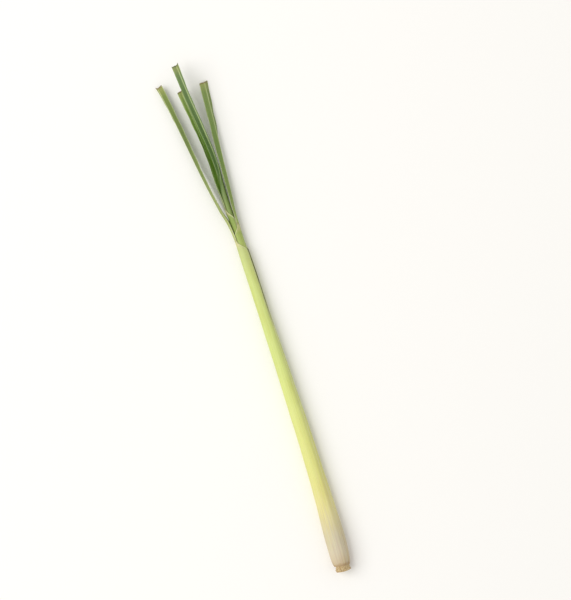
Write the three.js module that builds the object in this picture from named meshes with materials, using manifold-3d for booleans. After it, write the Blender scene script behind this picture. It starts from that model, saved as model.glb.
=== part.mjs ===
// A cut lemongrass stalk, trimmed at both ends and lying on a flat surface.
//
// The stalk is a false stem: leaf sheaths rolled one inside the other on a short woody root crown.
// Each leaf is one piece, from its sheath at the crown, past its collar, to its trimmed blade.
// The sheath of leaf 1 is the skin of the stalk, and its margins overlap along the upper right.
//
// Millimetres. +Z is up and z = 0 is the surface. +Y runs from the root to the leaf tips.
// The origin is on the surface, under the bulb, on the flat strip that the stalk rests on.
import * as THREE from 'three';
import { mergeVertices } from 'three/addons/utils/BufferGeometryUtils.js';
import Module from 'manifold-3d';

const { degToRad, radToDeg, lerp, smoothstep } = THREE.MathUtils;

// ---------------------------------------------------------------- driving dimensions

// Places along the stalk are measured from the cut face of the root.
const REST_FROM_ROOT = 36; // the origin, on the flat strip under the bulb
const BULB_WIDEST = 22; // where the bulb is widest
const RISE_START = 58; // where the stalk starts to rise and its flat strip to narrow
const COLLARS = [312, 326, 342]; // where the sheaths of leaves 1, 2 and 3 end
const HEART_OPENS = 352; // where the rolled heart leaf starts to open
const TIPS = [465, 458, 456, 478]; // where the blades of leaves 1 to 4 are trimmed

const STEM_HEIGHT_SHARE = 0.94; // the stem's height over its width
const PRESSED = 0.7; // depth of the flat strip pressed into the bulb
const SHEATH_GAP = 0.36; // free space between one sheath and the next
const MARGIN = 0.62; // thickness of every sheath and blade at its edges
const BLADE_HALF_WIDTH = 4.8;
const BLADE_MIDDLE = 0.85; // blade thickness beside the midrib
const KEEL_HEIGHT = 0.45; // how far the midrib stands out of the back of a blade
const KEEL_HALF_WIDTH = 1.1;
const MOUTH_LENGTH = 12; // length over which a sheath opens towards its collar

const OVERLAP_END = 236; // where the margins of the outer sheath stop overlapping
const OVERLAP_FADE = 285; // where the tucked margin is back at the full radius
const TUCK_START = 130; // degrees from the midrib where the lower margin starts to tuck in
const TUCK_END = 195; // degrees from the midrib where it is fully tucked under the other

const CROWN_RADIUS = 6.4;
const CROWN_SHOULDER = 4.9; // where the crown narrows to fit inside the sheaths
const CROWN_TIP = 12;
const ROOT_STUBS = 9;
const ROOT_STUB_RADIUS = 0.85;
const ROOT_STUB_REACH = 7.1; // from the stem's axis to a stub's cut end
const ROOT_STUB_PLACE = 2.3;
const RANDOM_SEED = 8;

// ---------------------------------------------------------------- small helpers

/** A smooth curve through [place, value] knots, level before the first and after the last. */
function smooth(knots) {
  const last = knots.length - 1;
  const slopes = knots.map((_, i) => {
    const [before, low] = knots[Math.max(i - 1, 0)];
    const [after, high] = knots[Math.min(i + 1, last)];
    return (high - low) / (after - before);
  });
  return (place) => {
    if (place <= knots[0][0]) return knots[0][1];
    if (place >= knots[last][0]) return knots[last][1];
    const i = knots.findIndex((knot) => knot[0] > place) - 1;
    const span = knots[i + 1][0] - knots[i][0];
    const t = (place - knots[i][0]) / span;
    const rise = knots[i + 1][1] - knots[i][1];
    const bend = (1 - t) * (slopes[i] * span - rise) - t * (slopes[i + 1] * span - rise);
    return knots[i][1] + t * rise + t * (1 - t) * bend;
  };
}

/** Shares from -1 at one edge of a leaf, past 0 at its midrib, to 1 at the other edge. */
function shares(before, after) {
  const left = Array.from({ length: before }, (_, i) => i / before - 1);
  const right = Array.from({ length: after + 1 }, (_, i) => i / after);
  return [...left, ...right];
}

/** A seeded random source of numbers from 0 to 1. */
function randomSource(seed) {
  let state = seed;
  return () => {
    state = (state * 16807) % 2147483647;
    return state / 2147483647;
  };
}

/** An indexed geometry whose triangles are turned so that they face out. */
function facingOut(points, triangles) {
  let volume = 0;
  for (let i = 0; i < triangles.length; i += 3) {
    const [a, b, c] = triangles.slice(i, i + 3).map((index) => points[index]);
    volume += a.dot(new THREE.Vector3().crossVectors(b, c));
  }
  const geometry = new THREE.BufferGeometry().setFromPoints(points);
  geometry.setIndex(volume > 0 ? triangles : triangles.reverse());
  geometry.computeVertexNormals();
  return geometry;
}

/** A closed solid from rings of points on a leaf's outer and inner face, with edges and cut ends. */
function solidFromRings(rings) {
  const rows = rings.length;
  const columns = rings[0].outer.length;
  const points = [...rings.flatMap((ring) => ring.outer), ...rings.flatMap((ring) => ring.inner)];
  const out = (row, column) => row * columns + column;
  const into = (row, column) => rows * columns + out(row, column);
  const triangles = [];
  const quad = (a, b, c, d) => triangles.push(a, b, c, a, c, d);
  for (let r = 0; r < rows - 1; r++) {
    for (let c = 0; c < columns - 1; c++) {
      // Both faces are split along the same diagonal, so that a twisted blade never crosses itself.
      quad(out(r, c), out(r, c + 1), out(r + 1, c + 1), out(r + 1, c));
      triangles.push(into(r, c), into(r + 1, c + 1), into(r, c + 1));
      triangles.push(into(r, c), into(r + 1, c), into(r + 1, c + 1));
    }
    const edge = columns - 1;
    quad(out(r, 0), out(r + 1, 0), into(r + 1, 0), into(r, 0));
    quad(out(r, edge), into(r, edge), into(r + 1, edge), out(r + 1, edge));
  }
  const end = rows - 1;
  for (let c = 0; c < columns - 1; c++) {
    quad(out(0, c), into(0, c), into(0, c + 1), out(0, c + 1));
    quad(out(end, c), out(end, c + 1), into(end, c + 1), into(end, c));
  }
  return facingOut(points, triangles);
}

/** A ring part of the way from one ring to another. */
function between(from, to, share) {
  const mix = (side) => from[side].map((point, i) => point.clone().lerp(to[side][i], share));
  return { outer: mix('outer'), inner: mix('inner') };
}

// ---------------------------------------------------------------- the stem's form

/** Outer radius of the rolled stem, before it is flattened a little. */
const stemRadius = smooth([
  [0, 6.4], [5, 7.3], [8, 8.2], [13, 8.9], [22, 9.3], [40, 9.1], [67, 8.2], [100, 7.4],
  [140, 6.9], [180, 6.3], [230, 5.7], [290, 5.1], [312, 4.8], [326, 5.3], [342, 5.7], [400, 5.7],
]);

/** Thickness of one sheath: fleshy at the bulb and thin at the collar. */
const sheathThickness = smooth([[5, 1.25], [14, 1.35], [40, 1.4], [100, 1.1], [200, 0.85], [312, 0.66]]);

/** Sideways place of the stem's axis: a slight bow, with the root end bent aside. */
const axisX = smooth([[0, -2], [30, -0.3], [100, 1.3], [200, 1.1], [312, -0.2], [342, -1.1], [420, -2]]);

/** How far the stem rises from where its bulb rests. */
const lift = smooth([[RISE_START - 10, 0], [RISE_START, 0], [110, 0.9], [200, 2.1], [312, 1.7], [345, 1.9]]);

const axisZ = (y) => STEM_HEIGHT_SHARE * stemRadius(Math.max(y, BULB_WIDEST)) - PRESSED + lift(y);

/** Angle of the outer leaf's midrib round the stem. Angle 0 is +X and 90 is up. */
const outerMidrib = smooth([[0, 200], [70, 200], [312, 186], [400, 186]]);

/** How much the outer sheath's margins overlap: 1 in the lower stem and 0 near the collar. */
const overlapping = (y) => 1 - smoothstep(y, OVERLAP_END, OVERLAP_FADE);

/** How far the inner leaves are crowded aside by the tucked margin of the outer sheath. */
const crowding = (y) => (overlapping(y) * Math.max(2 * MARGIN + SHEATH_GAP - sheathThickness(y), 0)) / 2;

/** The point at an angle round the stem and a distance from its axis. */
function onStem(y, degrees, radius) {
  const angle = degToRad(degrees);
  const x = axisX(y) + radius * Math.cos(angle);
  const z = axisZ(y) + STEM_HEIGHT_SHARE * radius * Math.sin(angle);
  return new THREE.Vector3(x, y, z);
}

/** The point at an angle and distance from the middle of a leaf layer. Layer 0 is the outermost. */
function onLayer(layer, y, degrees, radius) {
  const point = onStem(y, degrees, radius);
  if (layer === 0) {
    point.z = Math.max(point.z, 0); // the bulb is pressed flat where it rests
    return point;
  }
  const aside = degToRad(outerMidrib(y) + 30);
  point.x += crowding(y) * Math.cos(aside);
  point.z += crowding(y) * Math.sin(aside);
  return point;
}

/** Outer radius of a leaf layer, inside the layers round it. */
function layerRadius(layer, y) {
  const inside = layer === 0 ? 0 : crowding(y);
  return stemRadius(y) - inside - layer * (sheathThickness(y) + SHEATH_GAP);
}

// ---------------------------------------------------------------- leaves

/** One ring of points across a sheath that wraps the stem by two angles from its midrib. */
function sheathRing(leaf, y, before = leaf.before(y), after = leaf.after(y)) {
  const ring = { outer: [], inner: [] };
  const nearRoot = 1 - smoothstep(y, leaf.start, leaf.start + 7);
  for (const share of leaf.shares) {
    const turned = share < 0 ? share * before : share * after;
    const degrees = leaf.midrib(y) + turned;
    const tuck = overlapping(y) * leaf.tuck * smoothstep(turned, TUCK_START, TUCK_END);
    const radius = layerRadius(leaf.layer, y) - tuck;
    const thickness = lerp(sheathThickness(y), MARGIN, smoothstep(Math.abs(share), 0.35, 0.85));
    const place = y + nearRoot * leaf.rimSlant * Math.cos(degToRad(degrees - leaf.rimLowest));
    ring.outer.push(onLayer(leaf.layer, place, degrees, radius));
    ring.inner.push(onStemInside(leaf.layer, place, degrees, radius - thickness));
  }
  return ring;
}

/** A point on a sheath's inner face, which the flat strip doesn't reach. */
function onStemInside(layer, y, degrees, radius) {
  return layer === 0 ? onStem(y, degrees, radius) : onLayer(layer, y, degrees, radius);
}

/** The midrib's point on the back of a blade, at t from 0 at its start to 1 at the trimmed tip. */
function midribPoint(leaf, t) {
  const { x, y, z } = leaf.root;
  return new THREE.Vector3(x + leaf.drift(t), y + t * leaf.reach, z + leaf.rise(t));
}

/** Where a point of a blade's section lies, walked out from the midrib along half of the section. */
function halfSection(leaf, t, distance) {
  const steps = 8;
  const step = distance / steps;
  const fold = degToRad(leaf.fold(t));
  const point = { side: 0, depth: 0, angle: 0 };
  for (let i = 0; i < steps; i++) {
    const walked = (i + 0.5) * step;
    point.angle = fold * smoothstep(walked, 0, leaf.creaseWidth) + leaf.curl(t) * walked;
    point.side += Math.cos(point.angle) * step;
    point.depth += Math.sin(point.angle) * step;
  }
  return point;
}

/** One ring of points across a free blade. */
function bladeRing(leaf, t) {
  const nudge = 0.01;
  const ahead = midribPoint(leaf, Math.min(t + nudge, 1));
  const along = ahead.sub(midribPoint(leaf, Math.max(t - nudge, 0))).normalize();
  const facing = degToRad(leaf.facing(t));
  const back = new THREE.Vector3(Math.cos(facing), 0, Math.sin(facing));
  back.addScaledVector(along, -back.dot(along)).normalize();
  const across = new THREE.Vector3().crossVectors(back, along);
  const nearTip = smoothstep(t, 0.9, 1);
  const ring = { outer: [], inner: [] };
  for (const share of leaf.shares) {
    const distance = Math.abs(share) * leaf.halfWidth(t);
    const hand = Math.sign(share);
    const { side, depth, angle } = halfSection(leaf, t, distance);
    const inward = back.clone().multiplyScalar(-Math.cos(angle));
    inward.addScaledVector(across, -hand * Math.sin(angle));
    const keel = KEEL_HEIGHT * Math.max(0, 1 - (distance / KEEL_HALF_WIDTH) ** 2);
    const thickness = lerp(BLADE_MIDDLE, MARGIN, Math.abs(share));
    const trim = leaf.tipSlant * share + leaf.tipNotch * Math.abs(share);
    const surface = midribPoint(leaf, t).addScaledVector(across, hand * side);
    surface.addScaledVector(back, -depth).addScaledVector(along, trim * nearTip);
    ring.inner.push(surface.clone().addScaledVector(inward, thickness));
    ring.outer.push(surface.addScaledVector(inward, -keel));
  }
  return ring;
}

/** The rings of a blade that peels off the stem just above its collar. */
function peelingRing(leaf, t) {
  const wrap = radToDeg(leaf.halfWidth(t) / layerRadius(leaf.layer, leaf.collar));
  const onTheStem = sheathRing(leaf, leaf.collar + t * leaf.reach, wrap, wrap);
  return between(onTheStem, bladeRing(leaf, t), smoothstep(t, 0, leaf.peeled));
}

/** Lowers a blade towards its tip, so that its lowest corner just meets the surface. */
function settle(leaf) {
  const { outer, inner } = bladeRing(leaf, 1);
  const lowest = Math.min(...outer.concat(inner).map((point) => point.z));
  const rise = leaf.rise;
  leaf.rise = (t) => rise(t) - lowest * smoothstep(t, 0, 1);
}

/** Where the stem has its rings of points, closer together where its form changes quickly. */
const STEM_PLACES = [
  15, 19, 26, 34, 45, RISE_START, 74, 92, 112, 134, 158, 184, 208, 226, 242, 256, 270, 284, 296,
  305, 312, 319, 326, 334, 342,
];

/** The whole leaf as one solid: its sheath, from the crown to the collar, and its blade. */
function leafGeometry(leaf) {
  const foot = [0, 1.3, 3, 5].map((step) => leaf.start + step);
  const stem = STEM_PLACES.filter((y) => y < leaf.collar - MOUTH_LENGTH);
  const mouth = [12, 10.5, 9, 7.5, 6, 4.5, 3, 1.5, 0].map((step) => leaf.collar - step);
  const blade = [0.015, 0.03, 0.055, 0.09, 0.14, 0.2, 0.28, 0.37, 0.47, 0.58, 0.69, 0.8, 0.9, 1];
  const places = [...foot, ...stem, ...mouth].sort((a, b) => a - b);
  const rings = places.map((y) => sheathRing(leaf, y));
  return solidFromRings([...rings, ...blade.map((t) => peelingRing(leaf, t))]);
}

/** A leaf with a wrapped sheath and a blade, worked out from its own few numbers. */
function sheathedLeaf(number, form) {
  const layer = number - 1;
  const collar = COLLARS[layer];
  const mouthWrap = radToDeg(form.mouthHalfWidth / layerRadius(layer, collar));
  const opening = (wrap) => (y) => lerp(wrap(y), mouthWrap, smoothstep(y, collar - MOUTH_LENGTH, collar));
  return {
    tuck: 0,
    ...form,
    layer,
    collar,
    before: opening(form.before),
    after: opening(form.after),
    reach: TIPS[layer] - collar,
    halfWidth: smooth([[0, form.mouthHalfWidth], [0.3, BLADE_HALF_WIDTH], [1, BLADE_HALF_WIDTH]]),
    creaseWidth: 1.2,
    peeled: 0.2,
    root: onLayer(layer, collar, form.midrib(collar), layerRadius(layer, collar)),
  };
}

const leaf1 = sheathedLeaf(1, {
  start: 5.2,
  rimSlant: 0.8,
  rimLowest: 150,
  shares: shares(8, 12),
  mouthHalfWidth: 4.6,
  midrib: outerMidrib,
  before: smooth([[0, 160], [200, 160], [300, 150]]),
  after: smooth([[0, 240], [150, 240], [OVERLAP_END, 184], [300, 172]]),
  tuck: MARGIN + SHEATH_GAP,
  facing: smooth([[0, 186], [0.4, 176], [1, 138]]),
  drift: smooth([[0, 0], [0.1, -1.7], [0.2, -4.8], [0.4, -10.2], [0.6, -14.6], [0.8, -19], [1, -24.2]]),
  rise: smooth([[0, 0], [0.2, 1.3], [0.6, 1.2], [1, -0.6]]),
  fold: smooth([[0, 0], [0.15, 16], [0.5, 30], [1, 24]]),
  curl: smooth([[0, 0.2], [0.12, 0.1], [0.3, 0.02], [1, 0.01]]),
  tipSlant: 0.5,
  tipNotch: 1.6,
});

const leaf2 = sheathedLeaf(2, {
  start: 9,
  rimSlant: 0.5,
  rimLowest: 20,
  shares: shares(7, 7),
  mouthHalfWidth: 4.4,
  midrib: smooth([[0, 20], [100, 10], [326, -6], [420, -6]]),
  before: () => 164,
  after: () => 164,
  facing: smooth([[0, -6], [0.35, 18], [1, 58]]),
  drift: smooth([[0, 0], [0.2, 1.4], [0.6, 5.2], [1, 9]]),
  rise: smooth([[0, 0], [0.2, 0.9], [0.6, 0.6], [1, -0.8]]),
  fold: smooth([[0, 0], [0.15, 14], [0.5, 26], [1, 20]]),
  curl: smooth([[0, 0.23], [0.12, 0.12], [0.3, 0.03], [1, 0.01]]),
  tipSlant: -0.8,
  tipNotch: 0.5,
});

const leaf3 = sheathedLeaf(3, {
  start: 10.4,
  rimSlant: 0,
  rimLowest: 0,
  shares: shares(7, 7),
  mouthHalfWidth: 4.1,
  midrib: smooth([[0, 190], [342, 205], [420, 205]]),
  before: () => 164,
  after: () => 164,
  facing: smooth([[0, 205], [0.45, 218], [0.7, 238], [1, 256]]),
  drift: smooth([[0, 0], [0.22, -0.9], [0.45, -1], [0.7, -2.4], [1, -5.2]]),
  rise: smooth([[0, 0], [0.3, 0.2], [0.6, 1.6], [1, 3.4]]),
  fold: smooth([[0, 0], [0.2, 18], [0.5, 28], [1, 22]]),
  curl: smooth([[0, 0.27], [0.12, 0.16], [0.3, 0.06], [1, 0.02]]),
  tipSlant: 1.2,
  tipNotch: 0.4,
});

/** The youngest leaf: a rolled rod up the middle of the stem that opens into a folded blade. */
const heart = {
  layer: 3,
  start: 12.8,
  shares: shares(4, 4),
  root: onLayer(3, HEART_OPENS, -20, layerRadius(3, HEART_OPENS)),
  reach: TIPS[3] - HEART_OPENS,
  halfWidth: smooth([[0, 1.8], [0.25, 4.2], [0.5, BLADE_HALF_WIDTH], [1, BLADE_HALF_WIDTH]]),
  creaseWidth: 2.2,
  facing: smooth([[0, -20], [0.3, -48], [1, -54]]),
  drift: smooth([[0, 0], [0.3, 0.7], [0.54, -1.9], [0.76, -5], [1, -7.6]]),
  rise: smooth([[0, 0], [0.3, 3], [0.6, 6.6], [1, 11]]),
  fold: smooth([[0, 80], [0.4, 66], [1, 42]]),
  curl: () => 0,
  tipSlant: 0.6,
  tipNotch: 0.8,
};

/** One ring of the rolled part of the heart leaf: a rod, as a back and a front half round. */
function rodRing(leaf, y) {
  const radius = layerRadius(leaf.layer, Math.min(y, HEART_OPENS));
  const nearlyHalfTurn = 86;
  const middle = leaf.facing(0);
  const at = (degrees) => onLayer(leaf.layer, y, degrees, radius);
  return {
    outer: leaf.shares.map((share) => at(middle + share * nearlyHalfTurn)),
    inner: leaf.shares.map((share) => at(middle + 180 - share * nearlyHalfTurn)),
  };
}

/** The heart leaf as one solid: its rolled rod and the blade that it opens into. */
function heartGeometry(leaf) {
  const blade = [0.04, 0.09, 0.15, 0.22, 0.3, 0.4, 0.5, 0.6, 0.7, 0.8, 0.9, 1].map((t) => {
    const rolled = rodRing(leaf, HEART_OPENS + t * leaf.reach);
    return between(rolled, bladeRing(leaf, t), smoothstep(t, 0, 0.22));
  });
  const rod = [leaf.start, ...STEM_PLACES, HEART_OPENS].map((y) => rodRing(leaf, y));
  return solidFromRings([...rod, ...blade]);
}

// ---------------------------------------------------------------- root crown

/** Turns a closed geometry into a solid that can be joined to another. */
function toSolid(wasm, geometry) {
  const bare = geometry.clone();
  bare.deleteAttribute('normal');
  bare.deleteAttribute('uv');
  const merged = mergeVertices(bare);
  const vertProperties = new Float32Array(merged.attributes.position.array);
  const triVerts = new Uint32Array(merged.index.array);
  return new wasm.Manifold(new wasm.Mesh({ numProp: 3, vertProperties, triVerts }));
}

/** Turns a joined solid back into a geometry. */
function toGeometry(solid) {
  const mesh = solid.getMesh();
  const geometry = new THREE.BufferGeometry();
  geometry.setAttribute('position', new THREE.BufferAttribute(mesh.vertProperties, 3));
  geometry.setIndex(new THREE.BufferAttribute(mesh.triVerts, 1));
  geometry.computeVertexNormals();
  return geometry;
}

/** The crown's outline, as [radius, place], with the scars of old leaves as low rings. */
function crownProfile() {
  const outline = [
    [0, 0], [CROWN_RADIUS - 0.6, 0], [CROWN_RADIUS - 0.1, 0.5], [CROWN_RADIUS - 0.4, 1.2],
    [CROWN_RADIUS, 2], [CROWN_RADIUS - 0.3, 2.8], [CROWN_RADIUS + 0.05, 3.5],
    [CROWN_RADIUS - 0.3, 4.3], [CROWN_RADIUS - 1, CROWN_SHOULDER], [CROWN_RADIUS - 1.1, 6.8],
    [CROWN_RADIUS - 1.8, 8.6], [CROWN_RADIUS - 3.2, 10.2], [CROWN_RADIUS - 4.6, 11.4], [0, CROWN_TIP],
  ];
  return outline.map(([radius, place]) => new THREE.Vector2(radius, place));
}

/** The woody crown at the root end, with the stubs of trimmed roots round it. */
async function crownGeometry() {
  const wasm = await Module();
  wasm.setup();
  const random = randomSource(RANDOM_SEED);
  const sunk = 2.5; // how deep a stub starts inside the crown
  const length = ROOT_STUB_REACH - CROWN_RADIUS + sunk;
  let crown = toSolid(wasm, new THREE.LatheGeometry(crownProfile(), 24));
  for (let i = 0; i < ROOT_STUBS; i++) {
    const stub = new THREE.CylinderGeometry(ROOT_STUB_RADIUS, ROOT_STUB_RADIUS * 1.2, length, 8);
    stub.translate(0, ROOT_STUB_REACH - length / 2, 0);
    stub.rotateZ(-Math.PI / 2 - degToRad(12));
    stub.translate(0, ROOT_STUB_PLACE + 1.5 * random(), 0);
    stub.rotateY(((i + 0.5 * random()) / ROOT_STUBS) * 2 * Math.PI);
    crown = crown.add(toSolid(wasm, stub));
  }
  return toGeometry(crown).scale(1, 1, STEM_HEIGHT_SHARE);
}

// ---------------------------------------------------------------- the scene graph

/** A named mesh with its own plant material. */
function piece(name, geometry, color, roughness) {
  const mesh = new THREE.Mesh(geometry, new THREE.MeshStandardMaterial({ color, roughness, metalness: 0 }));
  mesh.name = name;
  return mesh;
}

settle(leaf1);
settle(leaf2);

const crown = piece('root_crown', await crownGeometry(), 0xc8a877, 0.8);
crown.position.set(axisX(0), 0, axisZ(0));
crown.rotation.z = -Math.atan2(axisX(CROWN_TIP) - axisX(0), CROWN_TIP);

const stalk = new THREE.Group();
stalk.add(crown);
stalk.add(piece('leaf_1', leafGeometry(leaf1), 0xd9de94, 0.45));
stalk.add(piece('leaf_2', leafGeometry(leaf2), 0xb9cc7a, 0.45));
stalk.add(piece('leaf_3', leafGeometry(leaf3), 0x86aa4e, 0.45));
stalk.add(piece('heart_leaf', heartGeometry(heart), 0x7fa06a, 0.45));
stalk.position.y = -REST_FROM_ROOT;

export default stalk;
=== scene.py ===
"""A cut lemongrass stalk that lies on a pale floor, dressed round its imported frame.

Sizes are millimetres. Places along the stalk are measured from the cut face of the root, and
angles round the stem are degrees: 0 is to the right and 90 is up. The meshes are in metres.
"""

import logging
import math
from dataclasses import dataclass, replace
from enum import Enum

import bpy
import numpy as np
from mathutils import Matrix, Vector


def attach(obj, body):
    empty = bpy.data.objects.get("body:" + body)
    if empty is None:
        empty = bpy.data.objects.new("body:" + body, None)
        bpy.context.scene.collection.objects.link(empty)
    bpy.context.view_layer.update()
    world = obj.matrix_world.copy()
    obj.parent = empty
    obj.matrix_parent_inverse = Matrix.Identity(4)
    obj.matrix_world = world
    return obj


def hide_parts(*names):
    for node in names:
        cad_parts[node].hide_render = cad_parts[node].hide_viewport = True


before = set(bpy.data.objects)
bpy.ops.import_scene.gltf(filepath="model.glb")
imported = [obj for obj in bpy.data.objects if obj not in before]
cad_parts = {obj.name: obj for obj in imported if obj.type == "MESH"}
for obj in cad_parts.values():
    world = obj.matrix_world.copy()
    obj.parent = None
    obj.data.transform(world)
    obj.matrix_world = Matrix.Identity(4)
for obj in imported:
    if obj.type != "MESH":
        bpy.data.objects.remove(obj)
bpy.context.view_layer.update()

LOG = logging.getLogger("lemongrass")
BODY = "root"
METRES = 0.001
REST_FROM_ROOT = 36.0  # from the cut root to the frame's origin, under the bulb
VEIN_DEGREES = 3.6  # the sheath has one vein for each such step round the stem
SHARP_DEGREES = 55.0
COLLARS = (312.0, 326.0, 342.0, 352.0)  # where each sheath ends and the rolled heart opens
LEAF_LENGTH = 480.0  # the length that the leaves' colours are spread over
CROWN_RADIUS = 6.4

MAP_FOOT, MAP_HEIGHT = 0.02, 0.96  # the part of a map's height that a piece's walls take up
CUT_FEET = (0.004, 0.986)  # how high up the map the cut faces at the root and the tip start
CUT_HEIGHT = 0.01  # how high each is there
CUT_SPAN = (0.02, 0.92)  # the part of its strip's width that it takes up
CUT_CORNERS = (0.005, 0.93)  # where the small triangles at its two margins start
CUT_CORNER_WIDTH = 0.01
FOOT_ROWS = (0, 0.25, 0.5, 0.9, 1.4, 2, 2.8, 3.8, 5, 6.2)  # of points, above a sheath's rim

DRAW_STEP, DRAW_SPAN = 16807, 2147483647  # the fixed draw that places the root stubs

FLESH_IOR = 1.42
SOFT_RADIUS = (0.9, 1.0, 0.35)  # how far red, green and blue light soaks in, as shares
SOFT_DEPTH = 0.9  # how deep a full share is

Array = np.ndarray
Span = tuple[float, float]  # from one number to another
Colour = tuple[int, int, int]
Stops = tuple[tuple[float, Colour], ...]
Socket = bpy.types.NodeSocket


class Part(Enum):
    """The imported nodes, each with the material slot that its finish belongs to."""

    CROWN = ("root_crown", "root_crown")
    LEAF_1 = ("leaf_1", "outer_leaf")
    LEAF_2 = ("leaf_2", "middle_leaf")
    LEAF_3 = ("leaf_3", "inner_leaf")
    HEART = ("heart_leaf", "heart_leaf")


class Face(Enum):
    """The faces of a leaf. The back is the outer face of its sheath."""

    BACK = 1.0
    FRONT = -1.0


def smoothstep(value: Array | float, low: float, high: float) -> Array:
    """Returns a smooth climb from 0, where the value is low, to 1, where it is high."""
    t = np.clip((np.asarray(value, float) - low) / (high - low), 0.0, 1.0)
    return t * t * (3.0 - 2.0 * t)


def bell(value: Array, width: float) -> Array:
    """Returns a soft bump that is 1 at 0 and fades over the width."""
    return np.exp(-((value / width) ** 2))


def unit(vectors: Array) -> Array:
    """Returns the vectors along the last axis at length 1."""
    return vectors / np.maximum(np.linalg.norm(vectors, axis=-1, keepdims=True), 1e-9)


def run_along(path: Array) -> Array:
    """Returns the distance walked to each point of a path."""
    return np.concatenate([[0.0], np.cumsum(np.linalg.norm(np.diff(path, axis=0), axis=1))])


@dataclass(frozen=True)
class Profile:
    """A smooth curve through (place, value) knots, level before the first and past the last."""

    knots: tuple[tuple[float, float], ...]

    def __call__(self, place: Array | float) -> Array:
        """Returns the curve's value.

        Args:
            place: One place or an array of them.

        Returns:
            The value at each place.
        """
        places, values = np.array(self.knots, float).T
        spans, rises = np.diff(places), np.diff(values)
        inner = (values[2:] - values[:-2]) / (places[2:] - places[:-2])
        slopes = np.concatenate([[rises[0] / spans[0]], inner, [rises[-1] / spans[-1]]])
        at = np.asarray(place, float)
        i = np.clip(np.searchsorted(places, at, side="right") - 1, 0, len(spans) - 1)
        t = np.clip((at - places[i]) / spans[i], 0.0, 1.0)
        start = slopes[i] * spans[i] - rises[i]
        end = slopes[i + 1] * spans[i] - rises[i]
        return values[i] + t * rises[i] + t * (1.0 - t) * ((1.0 - t) * start - t * end)


@dataclass(frozen=True)
class Ripple:
    """A seeded, never quite repeating wave of a few lengths."""

    seed: int
    height: float
    lengths: tuple[float, ...]

    def __call__(self, place: Array | float) -> Array:
        """Returns the wave.

        Args:
            place: One place or an array of them.

        Returns:
            The wave at each place, mostly between -height and height.
        """
        phases = np.random.default_rng(self.seed).uniform(0.0, math.tau, len(self.lengths))
        turns = np.asarray(place, float)[..., None] / np.array(self.lengths) * math.tau
        return self.height * np.sin(turns + phases).mean(axis=-1) * math.sqrt(len(self.lengths))


# ---------------------------------------------------------------- the stem's form


@dataclass(frozen=True)
class StemForm:
    """The rolled stem that every sheath follows."""

    height_share: float = 0.94  # how high the stem is for its width
    pressed: float = 0.7  # how far the bulb is pressed flat on what it rests on
    widest: float = 22.0
    gap: float = 0.36  # between one sheath and the next
    packed_margin: float = 0.62  # room that each of the overlapping margins takes
    overlap_end: float = 236.0
    overlap_fade: float = 285.0
    aside_degrees: float = 30.0  # from the midrib to where the inner leaves are pushed
    radius: Profile = Profile((
        (0, 6.4), (5, 7.3), (8, 8.2), (13, 8.9), (22, 9.3), (40, 9.1), (67, 8.2), (100, 7.4),
        (140, 6.9), (180, 6.3), (230, 5.7), (290, 5.1), (312, 4.8), (326, 5.3), (342, 5.7),
        (400, 5.7),
    ))
    thickness: Profile = Profile(
        ((5, 1.25), (14, 1.35), (40, 1.4), (100, 1.1), (200, 0.85), (312, 0.66))
    )
    axis_x: Profile = Profile(
        ((0, -2), (30, -0.3), (100, 1.3), (200, 1.1), (312, -0.2), (342, -1.1), (420, -2))
    )
    lift: Profile = Profile(((48, 0), (58, 0), (110, 0.9), (200, 2.1), (312, 1.7), (345, 1.9)))
    midrib: Profile = Profile(((0, 200), (70, 200), (312, 186), (400, 186)))
    swells: tuple[tuple[float, float, float, float], ...] = (
        (0.006, 61.0, 1.0, 0.7), (0.005, 37.0, -2.0, 2.1), (0.003, 19.0, 3.0, 0.0),
    )  # the share of the radius, the length along the stem, the waves round it and the start

    def axis_z(self, y: Array | float) -> Array:
        """Returns the height of the stem's axis."""
        half_height = self.height_share * self.radius(np.maximum(y, self.widest))
        return half_height - self.pressed + self.lift(y)

    def overlapping(self, y: Array | float) -> Array:
        """Returns how much the outer sheath's margins overlap, from 0 to 1."""
        return 1.0 - smoothstep(y, self.overlap_end, self.overlap_fade)

    def crowding(self, y: Array | float) -> Array:
        """Returns how far the tucked margin pushes the inner leaves aside."""
        spare = 2.0 * self.packed_margin + self.gap - self.thickness(y)
        return self.overlapping(y) * np.maximum(spare, 0.0) / 2.0

    def layer_radius(self, layer: int, y: Array | float) -> Array:
        """Returns the outer radius of a layer of leaf, where 0 is the outermost."""
        inside = self.crowding(y) if layer else 0.0
        return self.radius(y) - inside - layer * (self.thickness(y) + self.gap)

    def unevenness(self, y: Array | float, angle: Array | float) -> Array:
        """Returns how unevenly the stem has grown.

        Args:
            y: Places along the stalk.
            angle: Angles round the stem, in radians.

        Returns:
            The share of its radius by which it swells or shrinks.
        """
        return sum(
            share * np.sin(math.tau * y / length + waves * angle + start)
            for share, length, waves, start in self.swells
        )

    def point(
        self, layer: int, y: Array, degrees: Array, radius: Array, pressed: bool = False
    ) -> Array:
        """Returns points on a layer of the stem.

        Args:
            layer: The leaf's layer, where 0 is the outermost.
            y: Places along the stalk.
            degrees: Angles round the stem.
            radius: Distances from the layer's middle.
            pressed: Whether the surface below flattens the points.

        Returns:
            The points, with x, y and z along a new last axis.
        """
        angle = np.radians(degrees)
        radius = radius * (1.0 + self.unevenness(y, angle))
        x = self.axis_x(y) + radius * np.cos(angle)
        z = self.axis_z(y) + self.height_share * radius * np.sin(angle)
        if layer:
            aside = np.radians(self.midrib(y) + self.aside_degrees)
            x = x + self.crowding(y) * np.cos(aside)
            z = z + self.crowding(y) * np.sin(aside)
        if pressed:
            z = np.maximum(z, 0.0)
        return np.stack(np.broadcast_arrays(x, y, z), axis=-1)


STEM = StemForm()


# ---------------------------------------------------------------- meshes


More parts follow.
